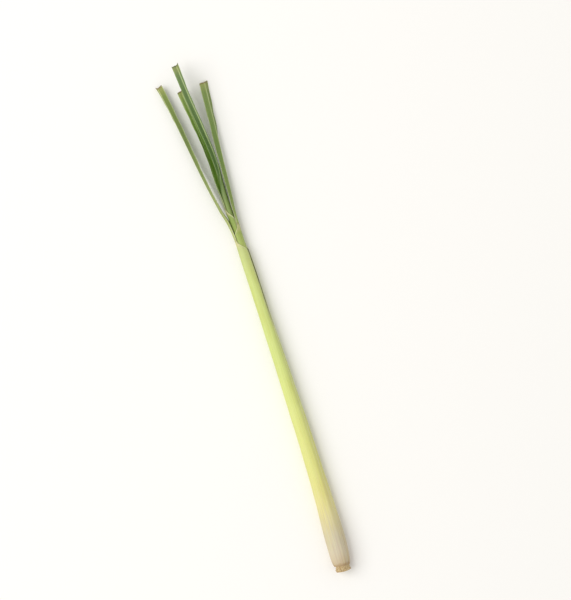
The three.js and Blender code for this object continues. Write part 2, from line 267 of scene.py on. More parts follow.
@dataclass
class Shell:
    """The faces of one closed piece while it is put together, with their places on its map."""

    faces: list[Array]
    places: list[Array]

    def add(self, faces: Array, places: Array, inside_out: bool = False) -> None:
        """Adds faces with their places on the map, turned over if they are inside out."""
        self.faces.append(faces[:, ::-1] if inside_out else faces)
        self.places.append(places[:, ::-1] if inside_out else places)

    def add_walls(self, first: int, around: Array, up: Array) -> None:
        """Joins rows of points that each run in a loop.

        Args:
            first: The index of the first row's first point.
            around: Places across the map, a row for each row of points, which names the
                loop's first point again at its end.
            up: Places up the map, one for each row.
        """
        rows, loop = around.shape[0], around.shape[1] - 1
        row, column = np.meshgrid(np.arange(rows - 1), np.arange(loop), indexing="ij")
        corners = ((0, 0), (0, 1), (1, 1), (1, 0))
        faces = [first + (row + r) * loop + (column + c) % loop for r, c in corners]
        places = [np.stack([around[row + r, column + c], up[row + r]], -1) for r, c in corners]
        self.add(np.stack(faces, -1).reshape(-1, 4), np.stack(places, -2).reshape(-1, 4, 2))

    def make(self, name: str, points: Array, fields: dict[str, Array]) -> bpy.types.Object:
        """Makes the smoothly shaded mesh.

        Args:
            name: The piece's name.
            points: Corner points in millimetres, from the root's cut face.
            fields: Three numbers a point, by the name that the finish reads them under.

        Returns:
            The new object.
        """
        placed = (points - (0.0, REST_FROM_ROOT, 0.0)) * METRES
        fans = [face[:, (0, i, i + 1)] for face in self.faces for i in range(1, face.shape[1] - 1)]
        a, b, c = np.moveaxis(placed[np.concatenate(fans)], 1, 0)
        if np.einsum("ij,ij->", a, np.cross(b, c)) < 0.0:
            self.faces = [face[:, ::-1] for face in self.faces]
            self.places = [place[:, ::-1] for place in self.places]
        mesh = bpy.data.meshes.new(name)
        mesh.from_pydata(placed.tolist(), [], [row for face in self.faces for row in face.tolist()])
        layer = mesh.uv_layers.new(name="OFBake")
        flat = np.concatenate([place.reshape(-1) for place in self.places])
        layer.data.foreach_set("uv", flat.astype(np.float32))
        for key, values in fields.items():
            made = mesh.attributes.new(key, "FLOAT_VECTOR", "POINT")
            made.data.foreach_set("vector", values.astype(np.float32).reshape(-1))
        mesh.shade_smooth()
        mesh.set_sharp_from_angle(angle=math.radians(SHARP_DEGREES))
        piece = bpy.data.objects.new(name, mesh)
        bpy.context.scene.collection.objects.link(piece)
        return piece


@dataclass(frozen=True, kw_only=True)
class Grown:
    """A sub-assembly that is built as one mesh and dressed in one finish."""

    name: str
    part: Part
    finish: "LeafFinish | CrownFinish | FibreFinish"
    stands_for_node: bool = True

    def build(self) -> bpy.types.Object:
        """Returns the piece's new mesh object."""
        raise NotImplementedError

    def dress(self, piece: bpy.types.Object) -> None:
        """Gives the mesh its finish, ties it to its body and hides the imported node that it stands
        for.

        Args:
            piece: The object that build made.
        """
        node, slot = self.part.value
        piece.data.materials.append(self.finish.material())
        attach(piece, BODY)
        if self.stands_for_node:
            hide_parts(node)


@dataclass
class Skin:
    """A leaf as rows along it and columns across it, with a back and a front face."""

    back: Array
    front: Array
    vein: Array  # counted from the midrib
    along: Array
    edge: Array  # distance from the nearer margin
    rim: Array  # distance from the end at the root
    tip: Array  # distance from the cut tip
    blade: Array  # 0 in the sheath and 1 in the free blade

    @classmethod
    def joined(cls, lower: "Skin", upper: "Skin") -> "Skin":
        """Returns one skin whose rows are those of the sheath and then those of the blade."""
        pairs = zip(vars(lower).values(), vars(upper).values())
        return cls(*(np.concatenate(pair) for pair in pairs))

    def raise_relief(self, height: Array, face: Face) -> None:
        """Moves the points of a face out along the leaf's own normal.

        Args:
            height: How far each point moves.
            face: The back or the front.
        """
        normal = unit(np.cross(np.gradient(self.back, axis=1), np.gradient(self.back, axis=0)))
        outward = np.sign(np.sum(normal * (self.back - self.front), axis=-1, keepdims=True))
        moved = normal * outward * height[..., None]
        if face is Face.BACK:
            self.back = self.back + moved
        else:
            self.front = self.front - moved

    @staticmethod
    def looped(back: Array, edges: Array, front: Array) -> Array:
        """Returns rows that run from one margin over the back, round the other, and back."""
        return np.concatenate([edges[:, :1], back, edges[:, 1:], front[:, ::-1]], axis=1)

    def points(self, roundness: float = 0.4) -> Array:
        """Returns the leaf's points.

        Args:
            roundness: How far the margins stand out, for their thickness.

        Returns:
            The looped points, none of them below the floor.
        """
        middle = (self.back + self.front) / 2.0
        outward = np.stack([middle[:, 0] - middle[:, 1], middle[:, -1] - middle[:, -2]], axis=1)
        thick = np.linalg.norm((self.back - self.front)[:, (0, -1)], axis=-1, keepdims=True)
        edges = middle[:, (0, -1)] + unit(outward) * thick * roundness
        points = self.looped(self.back, edges, self.front)
        points[..., 2] = np.maximum(points[..., 2], 0.0)
        return points

    def fields(self) -> dict[str, Array]:
        """Returns what the leaf's finish reads.

        Returns:
            Three numbers for each looped point, under the name that the finish knows.
        """
        def around(values: Array) -> Array:
            """Returns one number for each looped point."""
            return self.looped(values, values[:, (0, -1)], values).reshape(-1)

        faces = [np.full_like(self.vein, face.value) for face in (Face.BACK, Face.FRONT)]
        side = self.looped(faces[0], np.zeros((len(self.vein), 2)), faces[1]).reshape(-1)
        return {
            "leaf_place": np.stack([around(self.vein), around(self.along), around(self.edge)], -1),
            "leaf_ends": np.stack([around(self.rim), around(self.tip), side], -1),
            "leaf_kind": np.stack([around(self.blade)] * 3, -1),
        }

    def map_columns(
        self, back: float = 0.72, narrower: float = 0.2, seam: float = 0.004
    ) -> Array:
        """Returns places across the map.

        Args:
            back: The part of the map's width that the back of the sheath takes up.
            narrower: How much less of it the back of the free blade takes up.
            seam: The width between two faces.

        Returns:
            The places, from 0 to 1, for each row and looped point. Each row ends with its
            first point again.
        """
        share = (back - narrower * self.blade.mean(axis=1))[:, None]
        steps = np.linspace(0.0, 1.0, self.vein.shape[1])
        low, high = np.zeros_like(share), np.ones_like(share)
        backs = seam + steps * (share - seam)
        fronts = share + 2 * seam + steps * (1.0 - share - 3 * seam)
        return np.concatenate([low, backs, share + seam, fronts, high], axis=1)

    def piece(self, name: str, strips: int = 2, border: float = 0.01) -> bpy.types.Object:
        """Makes the leaf's mesh, closed at both ends.

        Args:
            name: The piece's name.
            strips: How many lengths the leaf's map is cut into.
            border: The free share of each strip at either side.

        Returns:
            The new object.
        """
        shell = Shell([], [])
        loop = 2 * self.vein.shape[1] + 2
        turn = border + (1.0 - 2.0 * border) * self.map_columns()
        length = self.along.mean(axis=1)
        bounds = np.linspace(length[0], length[-1], strips + 1)
        cuts = [0, *np.searchsorted(length, bounds[1:-1] + 1e-6), len(length) - 1]
        for strip, (low, high) in enumerate(zip(cuts, cuts[1:])):
            run = (length[low : high + 1] - length[low]) / (length[high] - length[low])
            shell.add_walls(
                low * loop, (strip + turn[low : high + 1]) / strips, MAP_FOOT + MAP_HEIGHT * run
            )
        ends = ((0, 0), (cuts[-1], strips - 1))
        for (row, strip), foot in zip(ends, CUT_FEET):
            self.close_end(shell, row, strip / strips, foot, 1.0 / strips)
        return shell.make(name, self.points().reshape(-1, 3), self.fields())

    def close_end(self, shell: Shell, row: int, left: float, foot: float, width: float) -> None:
        """Adds the cut face at one end.

        Args:
            shell: The piece's faces.
            row: The end's row.
            left: The place across the map where the strip starts.
            foot: The place up the map where the cut face starts.
            width: The strip's width on the map.
        """
        columns = self.vein.shape[1]
        first, low, high = row * (2 * columns + 2), foot, foot + CUT_HEIGHT
        back = first + 1 + np.arange(columns)
        front = first + 2 * columns + 1 - np.arange(columns)
        quads = np.stack([back[:-1], front[:-1], front[1:], back[1:]], axis=-1)
        u = left + np.linspace(*CUT_SPAN, columns) * width
        lows, highs = np.full(columns - 1, low), np.full(columns - 1, high)
        corners = ((u[:-1], lows), (u[:-1], highs), (u[1:], highs), (u[1:], lows))
        shell.add(quads, np.stack([np.stack(corner, -1) for corner in corners], axis=1), row > 0)
        margins = ((first, front[0], back[0]), (back[-1] + 1, back[-1], front[-1]))
        sides = (left + corner * width for corner in CUT_CORNERS)
        flat = [((u, low), (u + CUT_CORNER_WIDTH * width, low), (u, high)) for u in sides]
        shell.add(np.array(margins), np.array(flat), row > 0)


# ---------------------------------------------------------------- leaves


def columns(before: int, after: int, crowding: float = 0.1) -> Array:
    """Returns shares across a leaf from -1 to 1, closer together at the margins.

    Args:
        before: How many steps lie before the midrib.
        after: How many lie after it.
        crowding: How strongly they crowd at the margins.

    Returns:
        The shares, with 0 at the midrib.
    """
    def half(count: int) -> Array:
        """Returns shares from 0 at the midrib to 1 at a margin."""
        even = np.arange(count + 1) / count
        return even + crowding * np.sin(math.pi * even) * even

    return np.concatenate([-half(before)[::-1], half(after)[1:]])


@dataclass(frozen=True)
class Blade:
    """A free blade. Its curves run from 0 at its start to 1 at its trimmed tip."""

    facing: Profile
    drift: Profile
    rise: Profile
    fold: Profile
    half_width: Profile
    ripple: Ripple
    fray: Ripple
    curl: Profile = Profile(((0, 0), (1, 0)))
    crease: float = 1.2
    tip_slant: float = 0.5
    tip_notch: float = 0.5
    middle: float = 0.5  # its thickness beside the midrib
    margin: float = 0.17  # and at its margins
    keel: float = 0.45
    keel_half_width: float = 0.95
    thinning: float = 1.3  # above 1 it stays thick for longer towards its margins
    rippled: Span = (0.25, 0.6)
    trimmed: Span = (0.9, 1.0)
    frayed: Span = (0.97, 1.0)

    def midrib(self, t: Array, root: Array, reach: float) -> Array:
        """Returns the line of the midrib along the blade's back."""
        x, y, z = root
        return np.stack([x + self.drift(t), y + t * reach, z + self.rise(t)], axis=-1)

    def folded(self, t: Array, distance: Array, steps: int = 8) -> tuple[Array, Array, Array]:
        """Returns how the blade folds away from its midrib.

        Args:
            t: A column of places along the blade.
            distance: Distances from the midrib, walked over the surface.
            steps: How many short walks each distance is cut into.

        Returns:
            How far aside and how deep each point lies, and how steep the surface is there.
        """
        aside, depth, angle = (np.zeros_like(distance) for _ in range(3))
        for i in range(steps):
            walked = (i + 0.5) * distance / steps
            crease = np.radians(self.fold(t)) * smoothstep(walked, 0.0, self.crease)
            angle = crease + self.curl(t) * walked
            aside = aside + np.cos(angle) * distance / steps
            depth = depth + np.sin(angle) * distance / steps
        return aside, depth, angle

    def rings(self, t: Array, share: Array, root: Array, reach: float) -> tuple[Array, Array]:
        """Returns the blade's faces.

        Args:
            t: A column of places along the blade.
            share: A row of places across it, from -1 to 1.
            root: The midrib's point at the start.
            reach: The blade's length along the stalk.

        Returns:
            The points of the back and of the front.
        """
        nudge = 0.01
        ahead = self.midrib(np.minimum(t + nudge, 1.0), root, reach)
        along = unit(ahead - self.midrib(np.maximum(t - nudge, 0.0), root, reach))
        facing = np.radians(self.facing(t))
        back = np.stack([np.cos(facing), np.zeros_like(facing), np.sin(facing)], axis=-1)
        back = unit(back - along * np.sum(back * along, axis=-1, keepdims=True))
        across = np.cross(back, along) * np.sign(share)[..., None]
        distance = np.abs(share) * self.half_width(t)
        aside, depth, angle = self.folded(t, distance)
        inward = -back * np.cos(angle)[..., None] - across * np.sin(angle)[..., None]
        keel = self.keel * np.maximum(0.0, 1.0 - (distance / self.keel_half_width) ** 2)
        thickness = self.middle + (self.margin - self.middle) * np.abs(share) ** self.thinning
        trim = self.tip_slant * share + self.tip_notch * np.abs(share)
        trim = trim * smoothstep(t, *self.trimmed)
        torn = np.maximum(self.fray(share * self.half_width(t)), 0.0)
        torn = torn * smoothstep(t, *self.frayed)
        wave = self.ripple(t * reach) * share**2 * smoothstep(t, *self.rippled)
        surface = self.midrib(t, root, reach) + across * aside[..., None]
        surface = surface - back * depth[..., None] + along * (trim - torn)[..., None]
        surface = surface + inward * wave[..., None]
        return surface - inward * keel[..., None], surface + inward * thickness[..., None]


@dataclass(frozen=True, kw_only=True)
class Leaf(Grown):
    """One leaf, from its place on the crown to its trimmed tip."""

    layer: int
    start: float
    tip: float
    blade: Blade
    shares: Array
    vein_height: float = 0.045
    vein_step: float = 0.83
    groove_depth: float = 0.14
    groove_width: float = 0.45
    midrib_width: float = 0.9  # without veins
    plain_margin: float = 0.5
    unrolled: Span = (0.6, 1.0)
    foot_rows: int = 28
    tip_rows: int = 18
    rows_each_mm: float = 0.55  # between them
    rows_change: Span = (0.2, 0.94)

    @property
    def collar(self) -> float:
        """Returns the place where the blade starts."""
        return COLLARS[self.layer]

    @property
    def reach(self) -> float:
        """Returns the blade's length along the stalk."""
        return self.tip - self.collar

    def skin(self) -> Skin:
        """Returns the leaf's grid."""
        raise NotImplementedError

    def build(self) -> bpy.types.Object:
        """Makes the leaf's mesh.

        Returns:
            The new object.
        """
        skin = self.skin()
        self.relief(skin)
        return skin.piece(self.name)

    def rows_along(self) -> Array:
        """Returns places along the blade.

        Returns:
            A column of places past 0, closest together at the blade's ends.
        """
        counts = (self.foot_rows, int(self.reach * self.rows_each_mm), self.tip_rows)
        bounds = (0.0, *self.rows_change, 1.0)
        rows = [np.linspace(*ends)[1:] for ends in zip(bounds, bounds[1:], counts)]
        return np.concatenate(rows)[:, None]

    def relief(self, skin: Skin) -> None:
        """Raises the veins of the blade, and grooves its front along the midrib.

        Args:
            skin: The leaf's grid, which is changed.
        """
        half_width = self.blade.half_width(1.0)
        distance = self.shares[None, :] * half_width
        beside = 1.0 - bell(distance, self.midrib_width)
        inside = smoothstep(half_width - np.abs(distance), 0.0, self.plain_margin)
        opened = smoothstep(skin.blade, *self.unrolled)
        wave = np.cos(math.tau * distance / self.vein_step)
        veins = self.vein_height * wave * beside * inside * opened
        groove = self.groove_depth * bell(distance, self.groove_width) * opened
        skin.raise_relief(veins, Face.BACK)
        skin.raise_relief(groove - veins, Face.FRONT)


@dataclass(frozen=True, kw_only=True)
class SheathedLeaf(Leaf):
    """A leaf whose sheath wraps the stem up to its collar."""

    midrib: Profile = STEM.midrib
    before: Profile = Profile(((0, 164), (1, 164)))
    after: Profile = Profile(((0, 164), (1, 164)))
    mouth_half_width: float = 4.6
    mouth_length: float = 12.0
    peeled: float = 0.2
    rim_slant: float = 0.0
    rim_lowest: float = 0.0
    slanted_height: float = 7.0
    tuck: float = 0.0  # how far the margin underneath moves inward
    tucked: Span = (130.0, 195.0)  # degrees from the midrib
    lap: float = 0.0  # how far the margin over it leans inward
    lapped: Span = (0.8, 1.0)  # the share of the way to that margin
    margin: float = 0.2  # its thickness at its margins
    thinned: Span = (0.35, 0.97)
    full_foot: Span = (1.2, 3.6)  # above the rim, where it is as thick all round
    thin_lap: Span = (0.7, 0.78)  # but not past here
    row_step: float = 3.0
    mouth_rows: int = 25
    settles: bool = False
    wander: Ripple = Ripple(5, 0.9, (83.0, 41.0, 23.0, 9.0))
    wandering: Span = (0.8, 1.0)
    wander_starts: Span = (20.0, 40.0)
    steady_mouth: float = 20.0
    torn: Ripple = Ripple(7, 0.55, (101.0, 47.0, 27.0, 17.0))
    torn_height: float = 3.0
    ribs: tuple[tuple[float, float, float], ...] = (
        (0.05, 17.0, 0.0), (0.03, 29.0, 1.3),
    )  # the height, how many there are round the stem and where they start
    ribs_off_edge: Span = (0.0, 1.5)
    ribs_off_rim: Span = (2.0, 12.0)

    def wrap(self, y: Array, side: Profile) -> Array:
        """Returns how far round the stem one side of the sheath goes.

        Args:
            y: Places along the stalk.
            side: How far it goes below the mouth, into which it opens.

        Returns:
            Degrees from the midrib.
        """
        mouth = np.degrees(self.mouth_half_width / STEM.layer_radius(self.layer, self.collar))
        open_share = smoothstep(y, self.collar - self.mouth_length, self.collar)
        return side(y) + (mouth - side(y)) * open_share

    def thickness(self, y: Array, share: Array) -> Array:
        """Returns the sheath's thickness, which thins towards its margins.

        Args:
            y: A column of places along the stalk.
            share: A row of places across the sheath.

        Returns:
            The thickness, full all round at the foot but where the margins lap.
        """
        full = STEM.thickness(y)
        low, high = self.full_foot
        foot = 1.0 - smoothstep(y, self.start + low, self.start + high)
        foot = foot * (1.0 - smoothstep(-share, *self.thin_lap))
        thinned = smoothstep(np.abs(share), *self.thinned)
        return full + (self.margin - full) * thinned * (1.0 - foot)

    def sheath(
        self, y: Array, before: Array | None = None, after: Array | None = None
    ) -> tuple[Array, Array, Array, Array]:
        """Returns the sheath's faces.

        Args:
            y: A column of places along the stalk.
            before: How far the sheath wraps on one side of the midrib, or its own wrap.
            after: The same on the other side.

        Returns:
            The points of the back and of the front, the angles from the midrib, and the
            distances from the nearer margin.
        """
        share = self.shares[None, :]
        before = self.wrap(y, self.before) if before is None else before
        after = self.wrap(y, self.after) if after is None else after
        side = np.where(share < 0, before, after)
        free = smoothstep(np.abs(share), *self.wandering) * smoothstep(y, *self.wander_starts)
        free = free * smoothstep(self.collar - y, 0.0, self.steady_mouth)
        turned = share * side + np.sign(share) * free * self.wander(y)
        degrees = self.midrib(y) + turned
        tucked = self.tuck * smoothstep(turned, *self.tucked)
        lapped = self.lap * smoothstep(-share, *self.lapped)
        radius = STEM.layer_radius(self.layer, y) - STEM.overlapping(y) * (tucked + lapped)
        near_root = 1.0 - smoothstep(y, self.start, self.start + self.slanted_height)
        slant = self.rim_slant * np.cos(np.radians(degrees - self.rim_lowest))
        tear = np.maximum(self.torn(degrees), 0.0)
        tear = tear * (1.0 - smoothstep(y, self.start, self.start + self.torn_height))
        place = y + near_root * slant + tear
        inner = radius - self.thickness(y, share)
        back = STEM.point(self.layer, place, degrees, radius, pressed=self.layer == 0)
        front = STEM.point(self.layer, place, degrees, inner)
        edge = np.radians(np.maximum(side - np.abs(share * side), 0.0)) * radius
        return back, front, turned, edge

    def settled_blade(self, root: Array) -> Blade:
        """Returns the blade as it lies.

        Args:
            root: The midrib's point at the collar.

        Returns:
            The blade, lowered so that its tip rests on the floor if the leaf settles.
        """
        if not self.settles:
            return self.blade
        faces = self.blade.rings(np.ones((1, 1)), self.shares[None, :], root, self.reach)
        lowest = min(points[..., 2].min() for points in faces)
        places = np.linspace(0.0, 1.0, 21)
        lowered = self.blade.rise(places) - lowest * smoothstep(places, 0.0, 1.0)
        return replace(self.blade, rise=Profile(tuple(zip(places, lowered))))

    def peeling(self, t: Array) -> tuple[Array, Array]:
        """Returns the faces of the blade as it peels off the stem.

        Args:
            t: A column of places along the blade.

        Returns:
            The points of the back and of the front.
        """
        radius = STEM.layer_radius(self.layer, self.collar)
        wrap = np.degrees(self.blade.half_width(t) / radius)
        rolled = self.sheath(self.collar + t * self.reach, wrap, wrap)[:2]
        root = STEM.point(self.layer, self.collar, self.midrib(self.collar), radius)
        free = self.settled_blade(root).rings(t, self.shares[None, :], root, self.reach)
        share = smoothstep(t, 0.0, self.peeled)[..., None]
        return tuple(a + (b - a) * share for a, b in zip(rolled, free))

    def skin(self) -> Skin:
        """Returns the leaf's grid.

        Returns:
            The rows of the sheath and then those of the blade.
        """
        foot = self.start + np.array(FOOT_ROWS)
        mouth = np.linspace(self.collar - self.mouth_length, self.collar, self.mouth_rows)
        count = int((mouth[0] - foot[-1]) / self.row_step)
        stem = np.linspace(foot[-1], mouth[0], count)[1:-1]
        y = np.concatenate([foot, stem, mouth])[:, None]
        back, front, turned, edge = self.sheath(y)
        ones = np.ones_like(turned)
        lower = Skin(
            back, front, turned / VEIN_DEGREES, y * ones, edge,
            (y - self.start) * ones, (self.tip - y) * ones, 0.0 * ones,
        )
        t = self.rows_along()
        back, front = self.peeling(t)
        across = self.shares[None, :] * self.blade.half_width(t)
        ones = np.ones_like(across)
        vein = np.degrees(across / STEM.layer_radius(self.layer, self.collar)) / VEIN_DEGREES
        along = (self.collar + t * self.reach) * ones
        upper = Skin(
            back, front, vein, along, self.blade.half_width(t) - np.abs(across),
            along - self.start, self.tip - along, smoothstep(t, 0.0, self.peeled) * ones,
        )
        return Skin.joined(lower, upper)

    def relief(self, skin: Skin) -> None:
        """Raises the broad ribs of the sheath and the veins of the blade.

        Args:
            skin: The leaf's grid, which is changed.
        """
        super().relief(skin)
        angle = np.radians(skin.vein * VEIN_DEGREES)
        clear = smoothstep(skin.edge, *self.ribs_off_edge)
        clear = clear * smoothstep(skin.rim, *self.ribs_off_rim)
        ribs = sum(height * np.cos(angle * count + start) for height, count, start in self.ribs)
        skin.raise_relief(ribs * clear * (1.0 - skin.blade), Face.BACK)


@dataclass(frozen=True, kw_only=True)
class HeartLeaf(Leaf):
    """The youngest leaf: a rolled rod up the middle of the stem that opens into a blade."""

    half_turn: float = 86.0
    opened: float = 0.22
    seam_depth: float = 0.3
    seam_degrees: float = 9.0
    seam_start: float = 300.0
    seam_full: float = 320.0  # where the seam has its full depth
    plain_step: float = 4.0  # from row to row below the seam
    seam_rows: int = 40
    half_veins: float = 15.0
    clear_edge: float = 3.0

    def rod(self, y: Array) -> tuple[Array, Array]:
        """Returns the faces of the rolled part.

        Args:
            y: A column of places along the stalk.

        Returns:
            The points of its back, and of its front with the seam where its margins meet.
        """
        radius = STEM.layer_radius(self.layer, np.minimum(y, self.collar))
        middle = self.blade.facing(0.0)
        turned = self.shares[None, :] * self.half_turn
        sunk = bell(turned, self.seam_degrees) * smoothstep(y, self.seam_start, self.seam_full)
        back = STEM.point(self.layer, y, middle + turned, radius * np.ones_like(turned))
        inner = radius * (1.0 - self.seam_depth * sunk)
        return back, STEM.point(self.layer, y, middle + 180.0 - turned, inner)

    def skin(self) -> Skin:
        """Returns the leaf's grid.

        Returns:
            The rows of the rolled part and then those of the blade that it opens into.
        """
        share = self.shares[None, :]
        plain = np.arange(self.start, self.seam_start, self.plain_step)
        seamed = np.linspace(self.seam_start, self.collar, self.seam_rows)
        y = np.concatenate([plain, seamed])[:, None]
        ones = np.ones_like(y * share)
        lower = Skin(
            *self.rod(y), self.half_veins * share * ones, y * ones, self.clear_edge * ones,
            (y - self.start) * ones, (self.tip - y) * ones, 0.0 * ones,
        )
        t = self.rows_along()
        radius = STEM.layer_radius(self.layer, self.collar)
        root = STEM.point(self.layer, self.collar, self.blade.facing(0.0), radius)
        rolled = self.rod(self.collar + t * self.reach)
        free = self.blade.rings(t, share, root, self.reach)
        flat = smoothstep(t, 0.0, self.opened)
        back, front = (a + (b - a) * flat[..., None] for a, b in zip(rolled, free))
        ones = np.ones_like(t * share)
        along = (self.collar + t * self.reach) * ones
        edge = (1.0 - np.abs(share)) * self.blade.half_width(t)
        upper = Skin(
            back, front, self.half_veins * share * ones, along,
            self.clear_edge + (edge - self.clear_edge) * flat,
            along - self.start, self.tip - along, flat * ones,
        )
        return Skin.joined(lower, upper)


# ---------------------------------------------------------------- root crown


@dataclass(frozen=True, kw_only=True)
class RootCrown(Grown):
    """The woody crown at the root end, with the stubs of trimmed roots round it."""

    radius: float = CROWN_RADIUS
    tip: float = 12.0
    shoulder: float = 6.05  # fills the foot of the outer sheath
    buried_from: float = 6.5
    stubs: int = 9
    stub_radius: float = 0.92
    stub_reach: float = 6.9
    stub_places: Span = (0.9, 2.4)
    stub_squashes: Span = (0.75, 1.2)
    stub_sizes: Span = (0.85, 1.1)
    stub_edge: Span = (0.86, 1.12)  # as shares of a stub's size
    stub_foot: Span = (0.1, 0.5)  # above the cut face
    stub_lobe_depths: tuple[float, float] = (0.12, 0.07)
    stub_lobes: tuple[float, float] = (3.0, 5.0)  # of each depth, round a stub
    stub_rough: float = 0.12
    pith_depth: float = 0.14
    pith_edge: Span = (0.15, 0.6)
    seed: int = 8
    flutes: tuple[int, ...] = (3, 5, 8, 13, 21, 34, 55)
    flute_depths: tuple[float, ...] = (0.08, 0.07, 0.06, 0.05, 0.045, 0.04, 0.03)
    flute_twist: float = 0.5
    twists_each_mm: float = 1.7
    fluted_from: Span = (0.02, 0.5)
    fluted_to: Span = (3.6, 4.8)
    face_sunk: float = 0.16
    face_waves: tuple[tuple[float, float, float, float], ...] = (
        (0.07, 1.7, 2.0, 0.0), (0.05, 2.9, -3.0, 1.0),
    )  # for each its depth, its turn for a millimetre outward, its waves round, its start
    strand_depth: float = 0.05
    face_rim: Span = (0.1, 1.1)
    face_edge: float = 0.25
    sides: int = 240
    face_step: float = 0.14
    buried_step: float = 0.5

    def outline(self) -> Array:
        """Returns the crown's outline.

        Returns:
            The radius and the place along the crown, in short steps where it shows.
        """
        r, shoulder = self.radius, self.shoulder
        knots = np.array([
            (0.06, 0), (r - 0.75, 0), (r - 0.3, 0.22), (r - 0.1, 0.7), (r - 0.35, 1.3), (r, 2),
            (r - 0.25, 2.8), (r + 0.05, 3.5), (r - 0.25, 4.1), (shoulder, 4.6),
            (shoulder, self.buried_from), (5.2, 7.6), (4.3, 9), (3.2, 10.2), (1.8, 11.4),
            (0.06, self.tip),
        ])
        run = run_along(knots)
        buried = np.interp(self.buried_from, knots[2:, 1], run[2:])
        seen = np.arange(0.0, buried, self.face_step)
        at = np.concatenate([seen, np.arange(buried, run[-1], self.buried_step), run[-1:]])
        return np.stack([np.interp(at, run, knots[:, i]) for i in range(2)], axis=-1)

    def stub_centres(self) -> Array:
        """Returns where the root stubs are.

        Returns:
            Each stub's angle round the crown and its place along it.
        """
        state, drawn = self.seed, []
        for _ in range(2 * self.stubs):
            state = state * DRAW_STEP % DRAW_SPAN
            drawn.append(state / DRAW_SPAN)
        along, round_it = np.array(drawn).reshape(-1, 2).T
        angles = -(np.arange(self.stubs) + 0.5 * round_it) / self.stubs * math.tau
        low, high = self.stub_places
        return np.stack([angles, low + (high - low) * along], axis=-1)

    def roughness(self, angle: Array, place: Array) -> Array:
        """Returns the uneven fluting round the crown's side.

        Args:
            angle: A row of angles round the crown.
            place: A column of places along it.

        Returns:
            How far each point stands out.
        """
        draw = np.random.default_rng(self.seed)
        phases = draw.uniform(0.0, math.tau, (2, len(self.flutes)))
        along = place[..., None] * self.twists_each_mm
        twist = self.flute_twist * np.sin(along + phases[1])
        turned = angle[..., None] * np.array(self.flutes) + phases[0] + twist
        return (np.array(self.flute_depths) * np.sin(turned)).sum(axis=-1)

    def stubs_on(self, angle: Array, place: Array) -> tuple[Array, Array]:
        """Returns where the root stubs stand.

        Args:
            angle: A row of angles round the crown.
            place: A column of places along it.

        Returns:
            How far each point belongs to a stub, and how near it is to a stub's middle.
        """
        stub = np.zeros(np.broadcast_shapes(angle.shape, place.shape))
        core = np.zeros_like(stub)
        draw = np.random.default_rng(self.seed + 1)
        deep, shallow = self.stub_lobe_depths
        broad, narrow = self.stub_lobes
        for turned, y in self.stub_centres():
            across = np.angle(np.exp(1j * (angle - turned))) * self.radius
            squash, phase = draw.uniform(*self.stub_squashes), draw.uniform(0.0, math.tau)
            size = self.stub_radius * draw.uniform(*self.stub_sizes)
            bearing = np.arctan2(place - y, across)
            ragged = deep * np.sin(broad * bearing + phase)
            ragged = ragged + shallow * np.sin(narrow * bearing - phase)
            distance = np.hypot(across * squash, place - y) / (size * (1.0 + ragged))
            here = 1.0 - smoothstep(distance, *self.stub_edge)
            here = here * smoothstep(place, *self.stub_foot)
            stub = np.maximum(stub, here)
            core = np.maximum(core, 1.0 - np.clip(distance, 0.0, 1.0))
        return stub, core

    def sunk(self, angle: Array, radius: Array) -> Array:
        """Returns how deep the cut face has sunk between the torn strands.

        Args:
            angle: A row of angles round the crown.
            radius: A column of distances from its middle.

        Returns:
            The depth, which is none at the rim.
        """
        rings = radius * 7.3 + 1.1 * np.sin(3.0 * angle)
        strands = np.sin(rings) * np.sin(angle * 11.0 + radius * 1.9)
        waves = sum(
            depth * np.sin(radius * outward + turns * angle + start)
            for depth, outward, turns, start in self.face_waves
        )
        inside = smoothstep(self.radius - radius, *self.face_rim)
        return np.maximum((self.face_sunk + self.strand_depth * strands + waves) * inside, 0.0)

    def placed(self, across: Array, place: Array, up: Array) -> Array:
        """Returns points at the foot of the stem, leaning as its axis does.

        Args:
            across: Distances to the right of the crown's middle.
            place: Places along the crown.
            up: Distances above its middle.

        Returns:
            The points, none of them below the floor or past the cut face.
        """
        foot = float(STEM.axis_x(0.0))
        lean = math.atan2(float(STEM.axis_x(self.tip)) - foot, self.tip)
        x = foot + across * math.cos(lean) + place * math.sin(lean)
        y = place * math.cos(lean) - across * math.sin(lean)
        z = float(STEM.axis_z(0.0)) + up
        return np.stack([x, np.maximum(y, 0.0), np.maximum(z, 0.0)], axis=-1)

    def build(self) -> bpy.types.Object:
        """Makes the crown's mesh.

        Returns:
            The new object.
        """
        outline = self.outline()
        radius, place = outline[:, :1], outline[:, 1:]
        angle = np.arange(self.sides)[None, :] / self.sides * math.tau
        rough = self.roughness(angle, place)
        stub, core = self.stubs_on(angle, place)
        fluted = rough * smoothstep(place, *self.fluted_from)
        grown = radius + fluted * (1.0 - smoothstep(place, *self.fluted_to))
        pith = self.pith_depth * smoothstep(core, *self.pith_edge)
        reach = self.stub_reach + self.stub_rough * rough - pith
        grown = grown + (np.maximum(reach, grown) - grown) * stub
        on_face = 1.0 - smoothstep(place, 0.0, self.face_edge)
        y = place + on_face * self.sunk(angle, radius)
        up = STEM.height_share * grown * np.sin(angle)
        walls = self.placed(grown * np.cos(angle), y, up).reshape(-1, 3)
        middles = self.placed(np.zeros(2), np.array([self.face_sunk, self.tip]), np.zeros(2))

        def each(*values: Array) -> Array:
            """Returns numbers for every point.

            Args:
                *values: Some for each ring and side.

            Returns:
                Them all for each point, those of the two end points last.
            """
            spread = [np.broadcast_to(value, stub.shape).reshape(-1) for value in values]
            stacked = np.stack(spread, axis=-1)
            return np.concatenate([stacked, stacked[[0, -1]]])

        fields = {
            "crown_place": each(radius * np.cos(angle), place, radius * np.sin(angle)),
            "crown_cut": each(stub, core, on_face),
        }
        shell = self.shell(outline)
        return shell.make(self.name, np.concatenate([walls, middles]), fields)

